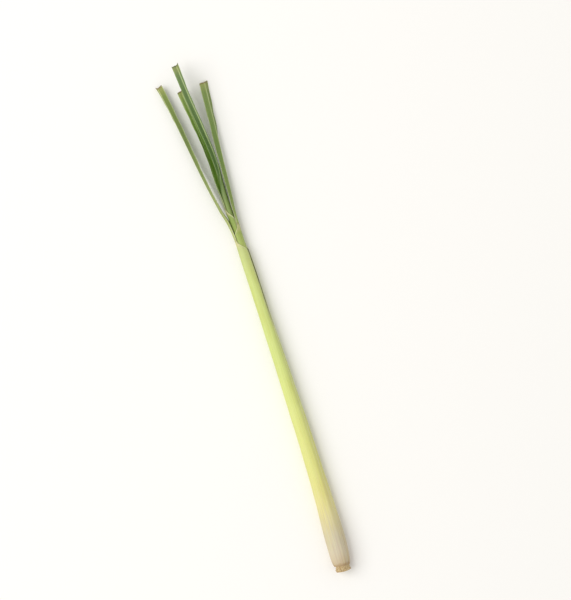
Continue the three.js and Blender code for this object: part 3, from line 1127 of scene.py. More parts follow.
    def shell(self, outline: Array) -> Shell:
        """Returns the crown's faces.

        Args:
            outline: The radius and the place of each ring.

        Returns:
            Walls from ring to ring, closed by a fan at each end.
        """
        rows, step = len(outline), np.arange(self.sides)
        run = run_along(outline)
        shell = Shell([], [])
        around = np.tile(np.arange(self.sides + 1) / self.sides, (rows, 1))
        shell.add_walls(0, around, MAP_FOOT + MAP_HEIGHT * run / run[-1])
        last = (rows - 1) * self.sides
        ends = ((0, 0.001, MAP_FOOT), (last, 0.999, MAP_FOOT + MAP_HEIGHT))
        for end, (first, middle, rim) in enumerate(ends):
            hub = np.full(self.sides, rows * self.sides + end)
            fan = np.stack([hub, first + (step + 1) % self.sides, first + step], axis=-1)
            corners = ((step + 0.5, middle), (step + 1, rim), (step, rim))
            flat = [np.stack([u / self.sides, np.full(self.sides, v)], -1) for u, v in corners]
            shell.add(fan, np.stack(flat, axis=1), end > 0)
        return shell


@dataclass(frozen=True, kw_only=True)
class RootFibres(Grown):
    """Thin dried root hairs round the crown, each a fine tapered tube."""

    stands_for_node: bool = False
    count: int = 46
    seed: int = 21
    lengths: Span = (1.4, 4.4)
    rooted: float = 6.0
    rooted_along: Span = (0.7, 4.6)
    lean: float = 0.057  # of the stem's foot, aside for each millimetre along it
    clear: float = 0.12  # of the floor and of the cut face
    outward: float = 0.55
    drooping: float = 0.25
    slanting: float = 0.45
    wavy: float = 0.2
    curling: float = 0.9
    kinked: float = 0.16
    thick: float = 0.055
    taper: float = 0.7
    sides: int = 5
    joints: int = 9
    aside: tuple[float, float, float] = (0.31, 0.2, 0.93)  # a way that no hair grows
    map_turn: Span = (0.1, 0.9)  # the part of its strip's width that a hair's walls take up
    map_foot: float = 0.05
    map_height: float = 0.9
    map_ends: Span = (0.02, 0.98)
    map_end_size: tuple[float, float] = (0.3, 0.015)

    def path(self, draw: np.random.Generator) -> Array:
        """Returns the points that one hair follows.

        Args:
            draw: The source of random numbers.

        Returns:
            The points, from the crown to the hair's end.
        """
        angle, place = draw.uniform(0.0, math.tau), draw.uniform(*self.rooted_along)
        length = draw.uniform(*self.lengths)
        slant, curl = draw.uniform(-1.0, 1.0, 2)
        s = np.linspace(0.0, 1.0, self.joints)
        out = self.rooted + length * (self.outward * s - self.drooping * s * s)
        wave = self.wavy * curl * np.sin(3.0 * s)
        y = place + length * (self.slanting * slant * s + wave)
        bent = self.curling * curl * s * s + self.kinked * np.sin(5.0 * s + slant)
        turned = angle + length / CROWN_RADIUS * bent
        x = out * np.cos(turned) + float(STEM.axis_x(0.0)) + y * self.lean
        z = STEM.height_share * out * np.sin(turned) + float(STEM.axis_z(0.0))
        return np.stack([x, np.maximum(y, self.clear), np.maximum(z, self.clear)], axis=-1)

    def tube(self, path: Array) -> Array:
        """Returns the surface of one hair.

        Args:
            path: The points that it follows.

        Returns:
            A ring of points round each, finer towards the hair's end.
        """
        tangent = unit(np.gradient(path, axis=0))
        side = unit(np.cross(tangent, self.aside))
        top = np.cross(side, tangent)
        turn = np.arange(self.sides)[:, None] / self.sides * math.tau
        ring = side[:, None] * np.cos(turn) + top[:, None] * np.sin(turn)
        size = self.thick * (1.0 - self.taper * np.linspace(0.0, 1.0, self.joints))
        return path[:, None] + size[:, None, None] * ring

    def close(self, shell: Shell, number: int) -> None:
        """Adds the two end faces of one hair.

        Args:
            shell: The piece's faces.
            number: Which hair it is.
        """
        step = np.arange(self.sides)
        turn = step / self.sides * math.tau
        wide, high = self.map_end_size
        circle = np.stack([wide / self.count * np.cos(turn), high * np.sin(turn)], axis=-1)
        first = number * self.joints * self.sides
        last = first + (self.joints - 1) * self.sides
        root, end = self.map_ends
        for start, v, inside_out in ((first, root, True), (last, end, False)):
            place = circle + ((number + 0.5) / self.count, v)
            shell.add((start + step)[None, :], place[None, :], inside_out)

    def build(self) -> bpy.types.Object:
        """Makes all hairs as one mesh.

        Returns:
            The new object.
        """
        draw = np.random.default_rng(self.seed)
        shell = Shell([], [])
        share = np.linspace(0.0, 1.0, self.joints)
        turn = np.linspace(*self.map_turn, self.sides + 1)
        up = self.map_foot + self.map_height * share
        points, places = [], []
        for number in range(self.count):
            rings = self.tube(self.path(draw))
            points.append(rings.reshape(-1, 3))
            along = np.repeat(share, self.sides)
            places.append(np.stack([np.full_like(along, number), along, along], axis=-1))
            around = np.tile((number + turn) / self.count, (self.joints, 1))
            shell.add_walls(number * self.joints * self.sides, around, up)
            self.close(shell, number)
        fields = {"fibre_place": np.concatenate(places)}
        return shell.make(self.name, np.concatenate(points), fields)


# ---------------------------------------------------------------- finishes


def linear(colour: Colour) -> tuple[float, float, float, float]:
    """Returns a colour as the shader's own numbers.

    Args:
        colour: The colour as on a display, 0 to 255 a channel.

    Returns:
        Its channels as amounts of light, with a full fourth channel.
    """
    parts = [c / 255.0 for c in colour]
    r, g, b = (p / 12.92 if p <= 0.04045 else ((p + 0.055) / 1.055) ** 2.4 for p in parts)
    return r, g, b, 1.0


@dataclass(frozen=True)
class Fade:
    """A smooth change of an amount from one place or level to another."""

    start: float
    end: float
    at_start: float = 1.0
    at_end: float = 0.0


@dataclass(frozen=True)
class Mottle:
    """Uneven patches on a surface, from nothing at the low level up to their full amount."""

    stretch: tuple[float, float]  # how many patches there are for one step across and along
    apart: float  # sets one kind of patch apart from the others
    low: float = 0.0
    high: float = 1.0
    amount: float = 1.0
    detail: float = 3.0


class Paint:
    """Writes the shader nodes of one finish."""

    def __init__(self, name: str) -> None:
        """Starts a material with a plain surface shader.

        Args:
            name: The material's name.
        """
        self.material = bpy.data.materials.new(name)
        self.material.use_nodes = True
        self.tree = self.material.node_tree
        self.shader = self.tree.nodes["Principled BSDF"]

    def feed(self, socket: Socket, value: object) -> None:
        """Links a socket to another, or sets its own value.

        Args:
            socket: The socket that is fed.
            value: The other socket, or the value.
        """
        if isinstance(value, Socket):
            self.tree.links.new(value, socket)
        else:
            socket.default_value = value

    def node(
        self, kind: str, inputs: dict[str | int, object], **settings: object
    ) -> bpy.types.Node:
        """Adds a node.

        Args:
            kind: The node's type, without the words that all of them start with.
            inputs: What goes into its sockets.
            **settings: Its settings.

        Returns:
            The node.
        """
        made = self.tree.nodes.new("ShaderNode" + kind)
        for key, value in settings.items():
            setattr(made, key, value)
        for key, value in inputs.items():
            self.feed(made.inputs[key], value)
        return made

    def math(self, operation: str, a: object, b: object = 0.0, c: object = 0.0) -> Socket:
        """Returns the result of one sum on numbers."""
        return self.node("Math", {0: a, 1: b, 2: c}, operation=operation).outputs[0]

    def times(self, a: object, b: object) -> Socket:
        """Returns the product of two numbers."""
        return self.math("MULTIPLY", a, b)

    def fade(self, value: object, fade: Fade) -> Socket:
        """Returns an amount that changes smoothly.

        Args:
            value: The number that it changes with.
            fade: Where the change starts and ends, and the amount at each.

        Returns:
            The amount.
        """
        inputs = {
            "Value": value,
            "From Min": fade.start,
            "From Max": fade.end,
            "To Min": fade.at_start,
            "To Max": fade.at_end,
        }
        return self.node("MapRange", inputs, interpolation_type="SMOOTHSTEP").outputs[0]

    def cover(self, noise: Socket, mottle: Mottle) -> Socket:
        """Returns how much a mottle covers, from its own noise."""
        return self.fade(noise, Fade(mottle.low, mottle.high, 0.0, mottle.amount))

    def mix(self, share: object, under: object, over: object, blend: str = "MIX") -> Socket:
        """Returns one colour over another.

        Args:
            share: How much the upper one covers.
            under: The lower colour.
            over: The upper colour.
            blend: How they mix.

        Returns:
            The mixed colour.
        """
        made = self.node("Mix", {}, data_type="RGBA", blend_type=blend)
        for index, value in ((0, share), (6, under), (7, over)):
            self.feed(made.inputs[index], linear(value) if isinstance(value, tuple) else value)
        return made.outputs[2]

    def stain(self, share: object, under: Socket, over: Colour) -> Socket:
        """Returns a colour that another has soaked into, as mix does."""
        return self.mix(share, under, self.mix(1.0, under, over, "MULTIPLY"))

    def ramp(self, place: object, stops: Stops, length: float) -> Socket:
        """Returns a colour that changes along a length.

        Args:
            place: The place on the length.
            stops: The colours, each with its place.
            length: The whole length.

        Returns:
            The colour.
        """
        made = self.node("ValToRGB", {0: self.math("DIVIDE", place, length)})
        elements = made.color_ramp.elements
        while len(elements) < len(stops):
            elements.new(1.0)
        for element, (at, colour) in zip(elements, stops):
            element.position = at / length
            element.color = linear(colour)
        return made.outputs[0]

    def numbers(self, name: str) -> tuple[Socket, Socket, Socket]:
        """Returns the three numbers that the mesh holds under a name."""
        read = self.node("Attribute", {}, attribute_name=name)
        return tuple(self.node("SeparateXYZ", {0: read.outputs["Vector"]}).outputs)

    def noise(self, across: object, along: object, mottle: Mottle) -> Socket:
        """Returns a mottle's noise.

        Args:
            across: The place across the surface.
            along: The place along it.
            mottle: The patches that the noise is for.

        Returns:
            Cloudy noise from 0 to 1, drawn out as far as the mottle's stretch says.
        """
        x, y = self.times(across, mottle.stretch[0]), self.times(along, mottle.stretch[1])
        vector = self.node("CombineXYZ", {0: x, 1: y, 2: mottle.apart}).outputs[0]
        return self.clouds(vector, 1.0, mottle.detail)

    def clouds(self, vector: Socket, scale: float, detail: float) -> Socket:
        """Returns cloudy noise from 0 to 1."""
        made = self.node("TexNoise", {"Vector": vector, "Scale": scale, "Detail": detail})
        return made.outputs["Fac"]

    def finish(
        self, colour: Socket, roughness: object, height: Socket, depth: float, soft: float
    ) -> bpy.types.Material:
        """Joins the finish to the shader.

        Args:
            colour: The surface's colour.
            roughness: Its roughness.
            height: Its fine relief, from 0 to 1.
            depth: The relief's depth in millimetres.
            soft: How much light soaks into it.

        Returns:
            The material.
        """
        bump = self.node("Bump", {"Strength": 1.0, "Distance": depth * METRES, "Height": height})
        self.feed(self.shader.inputs["Base Color"], colour)
        self.feed(self.shader.inputs["Roughness"], roughness)
        self.feed(self.shader.inputs["Normal"], bump.outputs[0])
        self.shader.inputs["IOR"].default_value = FLESH_IOR
        self.shader.inputs["Subsurface Weight"].default_value = soft
        self.shader.inputs["Subsurface Radius"].default_value = SOFT_RADIUS
        self.shader.inputs["Subsurface Scale"].default_value = SOFT_DEPTH * METRES
        return self.material


class LeafPaint(Paint):
    """The shader nodes of a leaf, with the places that its mesh holds."""

    BEHIND: Fade = Fade(-0.3, 0.3, 0.0, 1.0)  # from the front face to the back
    LOW: Fade = Fade(20.0, 62.0)  # from the bulb up

    def __init__(self, name: str) -> None:
        """Starts the material and reads the places.

        Args:
            name: The material's name.
        """
        super().__init__(name)
        self.vein, self.along, self.edge = self.numbers("leaf_place")
        self.rim, self.tip, self.face = self.numbers("leaf_ends")
        self.blade = self.numbers("leaf_kind")[0]
        self.behind = self.fade(self.face, self.BEHIND)
        self.low = self.fade(self.along, self.LOW)

    def patches(self, mottle: Mottle) -> Socket:
        """Returns noise over the leaf, from 0 to 1."""
        return self.noise(self.vein, self.along, mottle)

    def mottled(self, mottle: Mottle) -> Socket:
        """Returns how much a mottle covers."""
        return self.cover(self.patches(mottle), mottle)

    def swing(self, mottle: Mottle) -> Socket:
        """Returns a shift to both sides, as far as the mottle's amount."""
        fade = Fade(mottle.low, mottle.high, -mottle.amount, mottle.amount)
        return self.fade(self.patches(mottle), fade)


@dataclass(frozen=True)
class LeafFinish:
    """The colours and surface of one leaf, from its rim at the root to its cut tip."""

    name: str
    collar: float
    back: Stops
    front: Stops
    blade_margin: Colour = (186, 198, 142)
    sheath_margin: Colour = (233, 230, 192)
    midrib: Colour = (196, 207, 150)
    warm: Colour = (236, 226, 176)
    bruise: Colour = (190, 160, 156)
    vein: Colour = (118, 140, 60)
    # painted glint: pale highlight flecks laid into the colour over the fine streaks
    glint: Colour = (240, 238, 200)
    collar_pale: Colour = (218, 206, 160)
    collar_line: Colour = (136, 116, 58)
    cut: Colour = (126, 106, 62)
    near_cut: Colour = (176, 176, 104)
    dried: Colour = (164, 129, 88)
    near_rim: Colour = (186, 162, 124)
    flesh: Colour = (222, 208, 164)
    veins: Fade = Fade(0.0, 1.0, 0.2, 0.45)  # from the sheath to the blade
    veins_along: Fade = Fade(20.0, 110.0, 0.45, 1.0)
    vein_share: float = 0.5
    streak_share: float = 0.5
    vein_wander: float = 0.8  # in steps from vein to vein
    vein_sharpness: float = 2.0
    midrib_across: Fade = Fade(0.7, 2.4, 0.75)  # in steps from vein to vein
    midrib_on_blade: Fade = Fade(0.2, 0.9, 0.0, 1.0)
    margin_across: Fade = Fade(0.1, 0.75, 0.7)
    pale_below_collar: float = 2.6
    pale_along: Fade = Fade(0.8, 5.5, 0.5)
    line_above_collar: float = 0.6
    line_along: Fade = Fade(0.15, 1.0, 0.62)
    cut_uneven: float = -3.2
    rim_uneven: float = -5.0
    near_cut_along: Fade = Fade(1.0, 11.0, 0.4)
    cut_along: Fade = Fade(-1.3, 0.4, 0.9)
    near_rim_along: Fade = Fade(1.0, 16.0, 0.35)
    dried_along: Fade = Fade(-2.0, 1.2, 0.6)
    flesh_between: Fade = Fade(0.5, 0.92, 0.85)  # from the middle of the wall to its faces
    flesh_along: Fade = Fade(0.0, 0.3)
    glint_along: Fade = Fade(0.0, 1.0, 1.0, 0.45)  # from the sheath to the blade
    roughness: Fade = Fade(0.0, 1.0, 0.38, 0.5)  # from the smooth parts to the streaks
    dull_bulb: float = 0.16
    vein_relief: float = 0.6
    fine_relief: float = 0.4
    relief_depth: float = 0.05
    soft: float = 0.12
    drifting: Mottle = Mottle((0.3, 0.02), 14.0, 0.25, 0.75, 9.0)
    clouding: Mottle = Mottle((0.07, 0.022), 3.0, 0.4, 0.7, 0.28, 2.0)
    bruising: Mottle = Mottle((0.42, 0.021), 8.0, 0.42, 0.68, 0.34)
    wandering: Mottle = Mottle((0.25, 0.03), 5.0, detail=2.0)
    streaking: Mottle = Mottle((0.8, 0.007), 1.0, 0.35, 0.7)
    fraying: Mottle = Mottle((0.45, 0.02), 6.0, 0.2, 0.8, 1.4, 2.0)
    fine: Mottle = Mottle((3.1, 0.05), 2.0, 0.45, 0.75, 0.16)
    specks: Mottle = Mottle((0.9, 0.45), 11.0, 0.76, 0.82, 0.5, 1.0)
    wearing: Mottle = Mottle((0.7, 0.3), 4.0)

    def grown(self, p: LeafPaint) -> Socket:
        """Returns the leaf's own colour on both faces.

        Args:
            p: The leaf's shader nodes.

        Returns:
            The colour, clouded all over and bruised near the bulb.
        """
        place = p.math("ADD", p.along, p.swing(self.drifting))
        back, front = (p.ramp(place, stops, LEAF_LENGTH) for stops in (self.back, self.front))
        colour = p.stain(p.mottled(self.clouding), p.mix(p.behind, front, back), self.warm)
        return p.mix(p.times(p.mottled(self.bruising), p.low), colour, self.bruise)

    def veined(self, p: LeafPaint, colour: Socket, line: Socket, streak: Socket) -> Socket:
        """Returns the colour with its veins drawn in.

        Args:
            p: The leaf's shader nodes.
            colour: The colour so far.
            line: Where the even veins are.
            streak: Where the uneven streaks between them are.

        Returns:
            The veined colour.
        """
        strength = p.times(p.fade(p.blade, self.veins), p.fade(p.along, self.veins_along))
        lines, streaks = p.times(line, self.vein_share), p.times(streak, self.streak_share)
        drawn = p.math("ADD", lines, streaks)
        return p.stain(p.times(drawn, strength), colour, self.vein)

    def edged(self, p: LeafPaint, colour: Socket) -> Socket:
        """Returns the colour with what is drawn along the edges.

        Args:
            p: The leaf's shader nodes.
            colour: The colour so far.

        Returns:
            The colour with its midrib, its margins and the collar.
        """
        midrib = p.fade(p.math("ABSOLUTE", p.vein), self.midrib_across)
        midrib = p.times(midrib, p.fade(p.blade, self.midrib_on_blade))
        colour = p.mix(midrib, colour, self.midrib)
        margin = p.mix(p.blade, self.sheath_margin, self.blade_margin)
        colour = p.mix(p.fade(p.edge, self.margin_across), colour, margin)
        ragged = p.math("ADD", p.along, p.swing(self.fraying))
        at_collar = p.math("SUBTRACT", ragged, self.collar)
        off_pale = p.math("ABSOLUTE", p.math("ADD", at_collar, self.pale_below_collar))
        colour = p.mix(p.fade(off_pale, self.pale_along), colour, self.collar_pale)
        off_line = p.math("ABSOLUTE", p.math("SUBTRACT", at_collar, self.line_above_collar))
        return p.mix(p.fade(off_line, self.line_along), colour, self.collar_line)

    def worn(self, p: LeafPaint, colour: Socket) -> Socket:
        """Returns the colour with its wear.

        Args:
            p: The leaf's shader nodes.
            colour: The colour so far.

        Returns:
            The colour with specks, the browned cut, the dried rim and the flesh that it bares.
        """
        colour = p.mix(p.mottled(self.specks), colour, self.dried)
        uneven = p.patches(self.wearing)
        from_cut = p.math("MULTIPLY_ADD", uneven, self.cut_uneven, p.tip)
        from_rim = p.math("MULTIPLY_ADD", uneven, self.rim_uneven, p.rim)
        colour = p.mix(p.fade(p.tip, self.near_cut_along), colour, self.near_cut)
        colour = p.mix(p.fade(from_cut, self.cut_along), colour, self.cut)
        colour = p.mix(p.fade(p.rim, self.near_rim_along), colour, self.near_rim)
        colour = p.mix(p.fade(from_rim, self.dried_along), colour, self.dried)
        bare = p.fade(p.math("ABSOLUTE", p.face), self.flesh_between)
        return p.mix(p.times(bare, p.fade(p.rim, self.flesh_along)), colour, self.flesh)

    def material(self) -> bpy.types.Material:
        """Makes the leaf's material.

        Returns:
            The new material.
        """
        p = LeafPaint(self.name)
        wander = p.math("MULTIPLY_ADD", p.patches(self.wandering), self.vein_wander, p.vein)
        wave = p.math("SINE", p.times(wander, math.tau))
        line = p.math("POWER", p.math("MULTIPLY_ADD", wave, 0.5, 0.5), self.vein_sharpness)
        streak, fine = p.mottled(self.streaking), p.patches(self.fine)
        colour = self.veined(p, self.grown(p), line, streak)
        # painted glint: pale highlight flecks, stronger on the sheath than on the blade
        glint = p.times(p.cover(fine, self.fine), p.fade(p.blade, self.glint_along))
        colour = p.mix(glint, colour, self.glint)
        colour = self.worn(p, self.edged(p, colour))
        dull = p.times(p.low, self.dull_bulb)
        roughness = p.math("ADD", p.fade(streak, self.roughness), dull)
        veins, grain = p.times(line, self.vein_relief), p.times(fine, self.fine_relief)
        return p.finish(
            colour, roughness, p.math("ADD", veins, grain), self.relief_depth, self.soft
        )


@dataclass(frozen=True)
class CrownFinish:
    """Woody crown: fibrous sides, a paler cut face with scattered strands, and root stubs."""

    side: Colour = (222, 203, 160)
    shade: Colour = (172, 144, 100)
    face: Colour = (224, 208, 166)
    strand: Colour = (162, 128, 84)
    stub: Colour = (184, 154, 108)
    core: Colour = (216, 194, 150)
    stub_rim: Colour = (140, 108, 70)
    drawn_out: float = 0.22  # how fast the noise changes along the crown, against across it
    fibres: tuple[float, float] = (2.4, 5.0)  # how fine the noise is and how detailed
    blotches: tuple[float, float] = (0.45, 3.0)
    grains: tuple[float, float] = (6.0, 3.0)
    strands_each_mm: float = 1.75
    fibre_tone: Fade = Fade(0.36, 0.62, 0.0, 1.0)
    scar_turn: float = 1.9  # radians for each millimetre along the crown
    scar_sharpness: float = 8.0
    scar_share: float = 0.3
    side_blotch: Fade = Fade(0.5, 0.68, 0.0, 0.45)
    face_grain: Fade = Fade(0.35, 0.7, 0.0, 0.3)
    strand_across: Fade = Fade(0.05, 0.34, 0.5)
    rim_uneven: float = 2.4
    ring_radius: float = 5.9
    ring_across: Fade = Fade(0.1, 0.7, 0.32)
    rim_across: Fade = Fade(6.2, 7.6, 0.0, 0.7)
    face_blotch: Fade = Fade(0.5, 0.72, 0.0, 0.4)
    core_across: Fade = Fade(0.08, 0.3, 0.0, 1.0)  # from a stub's rim inward
    pith_across: Fade = Fade(0.62, 0.8, 0.0, 0.6)
    stub_grain: Fade = Fade(0.4, 0.65, 0.0, 0.5)
    stub_across: Fade = Fade(0.3, 0.9, 0.0, 0.85)
    roughness: Fade = Fade(0.3, 0.7, 0.9, 0.72)
    fibre_relief: float = 0.6
    grain_relief: float = 0.4
    relief_depth: float = 0.16
    soft: float = 0.06

    def bark(self, p: Paint, fibre: Socket, blotch: Socket, place: Socket) -> Socket:
        """Returns the colour of the crown's side.

        Args:
            p: The crown's shader nodes.
            fibre: Noise as fine as its fibres.
            blotch: Broad noise.
            place: The place along the crown.

        Returns:
            The colour.
        """
        colour = p.mix(p.fade(fibre, self.fibre_tone), self.shade, self.side)
        wave = p.math("ABSOLUTE", p.math("SINE", p.times(place, self.scar_turn)))
        scar = p.times(p.math("POWER", wave, self.scar_sharpness), self.scar_share)
        colour = p.mix(scar, colour, self.shade)
        return p.mix(p.fade(blotch, self.side_blotch), colour, self.shade)

    def cut(self, p: Paint, grain: Socket, blotch: Socket, radius: Socket, dots: Socket) -> Socket:
        """Returns the colour of the cut face.

        Args:
            p: The crown's shader nodes.
            grain: Noise as fine as its grain.
            blotch: Broad noise.
            radius: The distance from the face's middle.
            dots: The distance from the nearest strand's middle.

        Returns:
            The colour.
        """
        flat = p.mix(p.fade(grain, self.face_grain), self.face, self.side)
        flat = p.mix(p.fade(dots, self.strand_across), flat, self.strand)
        rim = p.math("MULTIPLY_ADD", blotch, self.rim_uneven, radius)
        ring = p.math("ABSOLUTE", p.math("SUBTRACT", rim, self.ring_radius))
        flat = p.mix(p.fade(ring, self.ring_across), flat, self.strand)
        flat = p.mix(p.fade(rim, self.rim_across), flat, self.shade)
        return p.mix(p.fade(blotch, self.face_blotch), flat, self.strand)

    def material(self) -> bpy.types.Material:
        """Makes the crown's material.

        Returns:
            The new material.
        """
        p = Paint("woody_crown")
        x, place, z = p.numbers("crown_place")
        stub, core, face = p.numbers("crown_cut")
        radius = p.math("SQRT", p.math("MULTIPLY_ADD", x, x, p.times(z, z)))
        along = p.times(place, self.drawn_out)
        section = p.node("CombineXYZ", {0: x, 1: z, 2: along}).outputs[0]
        fibre, blotch = p.clouds(section, *self.fibres), p.clouds(section, *self.blotches)
        grain = p.clouds(section, *self.grains)
        strands = p.node("TexVoronoi", {"Vector": section, "Scale": self.strands_each_mm})
        flat = self.cut(p, grain, blotch, radius, strands.outputs["Distance"])
        colour = p.mix(face, self.bark(p, fibre, blotch, place), flat)
        stubbed = p.mix(p.fade(core, self.core_across), self.stub_rim, self.core)
        stubbed = p.mix(p.fade(core, self.pith_across), stubbed, self.stub)
        stubbed = p.mix(p.fade(grain, self.stub_grain), stubbed, self.strand)
        colour = p.mix(p.fade(stub, self.stub_across), colour, stubbed)
        roughness = p.fade(fibre, self.roughness)
        fibrous, grained = p.times(fibre, self.fibre_relief), p.times(grain, self.grain_relief)
        height = p.math("ADD", fibrous, grained)
        return p.finish(colour, roughness, height, self.relief_depth, self.soft)


@dataclass(frozen=True)
class FibreFinish:
    """Dry root hairs, each a little different."""

    pale: Colour = (204, 178, 134)
    dark: Colour = (150, 116, 76)
    each: Mottle = Mottle((0.73, 2.0), 1.0, 0.35, 0.65, detail=2.0)
    grain: Mottle = Mottle((3.0, 14.0), 2.0, detail=2.0)
    dark_end: Fade = Fade(0.6, 1.0, 0.0, 0.3)
    roughness: float = 0.75
    relief_depth: float = 0.02
    soft: float = 0.05

    def material(self) -> bpy.types.Material:
        """Makes the hairs' material.

        Returns:
            The new material.
        """
        p = Paint("root_fibres")
        number, along, _ = p.numbers("fibre_place")
        each = p.cover(p.noise(number, along, self.each), self.each)
        colour = p.mix(each, self.dark, self.pale)
        colour = p.mix(p.fade(along, self.dark_end), colour, self.dark)
        grain = p.noise(number, along, self.grain)
        return p.finish(colour, self.roughness, grain, self.relief_depth, self.soft)


# ---------------------------------------------------------------- studio


@dataclass(frozen=True)
class Studio:
    """A plain pale floor, soft light and the camera."""

    target: tuple[float, float, float] = (22.5, 212.1, 8.0)
    up: tuple[float, float] = (0.305, 0.952)
    distance: float = 1500.0
    lens: float = 100.0
    sensor: float = 36.0
    view_end: float = 50.0
    floor_half: float = 14.0
    floor_drop: float = 0.0001
    floor_colour: Colour = (250, 249, 247)
    floor_roughness: float = 0.9
    floor_shine: float = 0.1
    key_from: tuple[float, float, float] = (-2.1, 0.9, 2.9)
    key_size: float = 3.0
    key_power: float = 84.0
    key_colour: tuple[float, float, float] = (1.0, 0.995, 0.985)
    sky: float = 0.66
    sky_colour: tuple[float, float, float, float] = (1.0, 0.985, 0.95, 1.0)

    def camera(self) -> None:
        """Sets the camera straight above the stalk, turned as the stalk leans."""
        data = bpy.data.cameras.new("camera")
        data.lens = self.lens
        data.sensor_width = self.sensor
        data.clip_end = self.view_end
        camera = bpy.data.objects.new("camera", data)
        up = Vector((*self.up, 0.0)).normalized()
        right = up.cross(Vector((0.0, 0.0, 1.0)))
        place = Matrix((right, up, right.cross(up))).transposed().to_4x4()
        place.translation = (Vector(self.target) + Vector((0.0, 0.0, self.distance))) * METRES
        camera.matrix_world = place
        bpy.context.scene.collection.objects.link(camera)
        bpy.context.scene.camera = camera

    def floor(self) -> None:
        """Lays the plain floor."""
        half, z = self.floor_half, -self.floor_drop
        corners = [(-half, -half, z), (half, -half, z), (half, half, z), (-half, half, z)]
        mesh = bpy.data.meshes.new("floor")
        mesh.from_pydata(corners, [], [(0, 1, 2, 3)])
        floor = bpy.data.objects.new("floor", mesh)
        bpy.context.scene.collection.objects.link(floor)
        p = Paint("floor")
        p.shader.inputs["Base Color"].default_value = linear(self.floor_colour)
        p.shader.inputs["Roughness"].default_value = self.floor_roughness
        p.shader.inputs["Specular IOR Level"].default_value = self.floor_shine
        mesh.materials.append(p.material)

    def light(self) -> None:
        """Hangs one large soft lamp and lights the room evenly."""
        lamp = bpy.data.lights.new("key", "AREA")
        lamp.size = self.key_size
        lamp.energy = self.key_power
        lamp.color = self.key_colour
        key = bpy.data.objects.new("key", lamp)
        target = Vector(self.target) * METRES
        key.location = target + Vector(self.key_from)
        key.rotation_euler = (target - key.location).to_track_quat("-Z", "Y").to_euler()
        bpy.context.scene.collection.objects.link(key)
        world = bpy.data.worlds.new("room")
        world.use_nodes = True
        ground = world.node_tree.nodes["Background"]
        ground.inputs["Color"].default_value = self.sky_colour
        ground.inputs["Strength"].default_value = self.sky
        bpy.context.scene.world = world
        bpy.context.scene.view_settings.view_transform = "Standard"


# ---------------------------------------------------------------- this stalk


OUTER_FINISH = LeafFinish(
    "outer_leaf",
    collar=COLLARS[0],
    back=(
        (0, (204, 184, 146)), (8, (212, 197, 164)), (16, (213, 201, 174)), (30, (210, 201, 170)),
        (44, (218, 207, 160)), (64, (229, 221, 152)), (95, (226, 225, 138)), (140, (223, 228, 138)),
        (200, (213, 225, 134)), (270, (208, 220, 132)), (305, (198, 208, 132)),
        (325, (172, 184, 108)), (350, (154, 168, 100)), (380, (122, 141, 68)),
        (415, (98, 120, 44)), (445, (110, 131, 44)), (465, (126, 144, 60)),
    ),
    front=(
        (0, (224, 214, 176)), (200, (222, 224, 168)), (305, (206, 214, 144)),
        (330, (160, 178, 96)), (380, (118, 146, 72)), (430, (104, 134, 62)), (465, (130, 148, 84)),
    ),
)

MIDDLE_FINISH = LeafFinish(
    "middle_leaf",
    collar=COLLARS[1],
    back=(
        (0, (226, 216, 176)), (120, (222, 222, 158)), (280, (196, 208, 122)),
        (318, (168, 188, 96)), (345, (142, 168, 82)), (390, (120, 150, 72)), (458, (134, 156, 84)),
    ),
    front=(
        (0, (228, 220, 184)), (300, (202, 212, 140)), (340, (120, 152, 70)),
        (400, (92, 130, 54)), (458, (116, 144, 70)),
    ),
)

INNER_FINISH = LeafFinish(
    "inner_leaf",
    collar=COLLARS[2],
    back=(
        (0, (226, 218, 180)), (200, (212, 220, 150)), (310, (174, 194, 104)),
        (342, (140, 168, 78)), (390, (112, 146, 64)), (456, (146, 170, 88)),
    ),
    front=(
        (0, (228, 222, 188)), (310, (180, 198, 116)), (342, (136, 176, 64)),
        (370, (126, 174, 48)), (410, (132, 178, 60)), (436, (150, 184, 84)), (456, (168, 194, 112)),
    ),
    blade_margin=(196, 210, 148),
    margin_across=Fade(0.1, 1.7, 0.7),
)

HEART_FINISH = LeafFinish(
    "heart_leaf",
    collar=300.0,
    back=(
        (0, (230, 222, 186)), (250, (214, 218, 150)), (330, (150, 172, 92)),
        (370, (118, 146, 78)), (420, (112, 142, 82)), (478, (128, 152, 92)),
    ),
    front=(
        (0, (230, 222, 186)), (250, (214, 218, 150)), (330, (150, 172, 92)),
        (370, (96, 128, 66)), (420, (98, 130, 72)), (478, (118, 144, 88)),
    ),
    blade_margin=(158, 178, 122),
    cut=(92, 98, 60),
)

OUTER_LEAF = SheathedLeaf(
    name="outer_leaf",
    part=Part.LEAF_1,
    finish=OUTER_FINISH,
    layer=0,
    start=5.2,
    tip=465.0,
    shares=columns(52, 70),
    blade=Blade(
        facing=Profile(((0, 186), (0.4, 176), (1, 138))),
        drift=Profile((
            (0, 0), (0.1, -1.7), (0.2, -4.8), (0.4, -10.2), (0.6, -14.6), (0.8, -19), (1, -24.1),
        )),
        rise=Profile(((0, 0), (0.2, 1.3), (0.6, 1.2), (1, -0.6))),
        fold=Profile(((0, 0), (0.15, 16), (0.5, 30), (1, 24))),
        curl=Profile(((0, 0.2), (0.12, 0.1), (0.3, 0.02), (1, 0.01))),
        half_width=Profile(((0, 4.6), (0.3, 4.8), (1, 4.8))),
        tip_notch=1.6,
        ripple=Ripple(11, 0.3, (47.0, 29.0, 17.0)),
        fray=Ripple(12, 0.55, (3.1, 1.3, 0.7, 0.43)),
    ),
    before=Profile(((0, 160), (200, 160), (300, 150))),
    after=Profile(((0, 240), (150, 240), (236, 184), (300, 172))),
    rim_slant=0.8,
    rim_lowest=150.0,
    tuck=0.98,
    lap=0.66,
    row_step=2.2,
    settles=True,
)

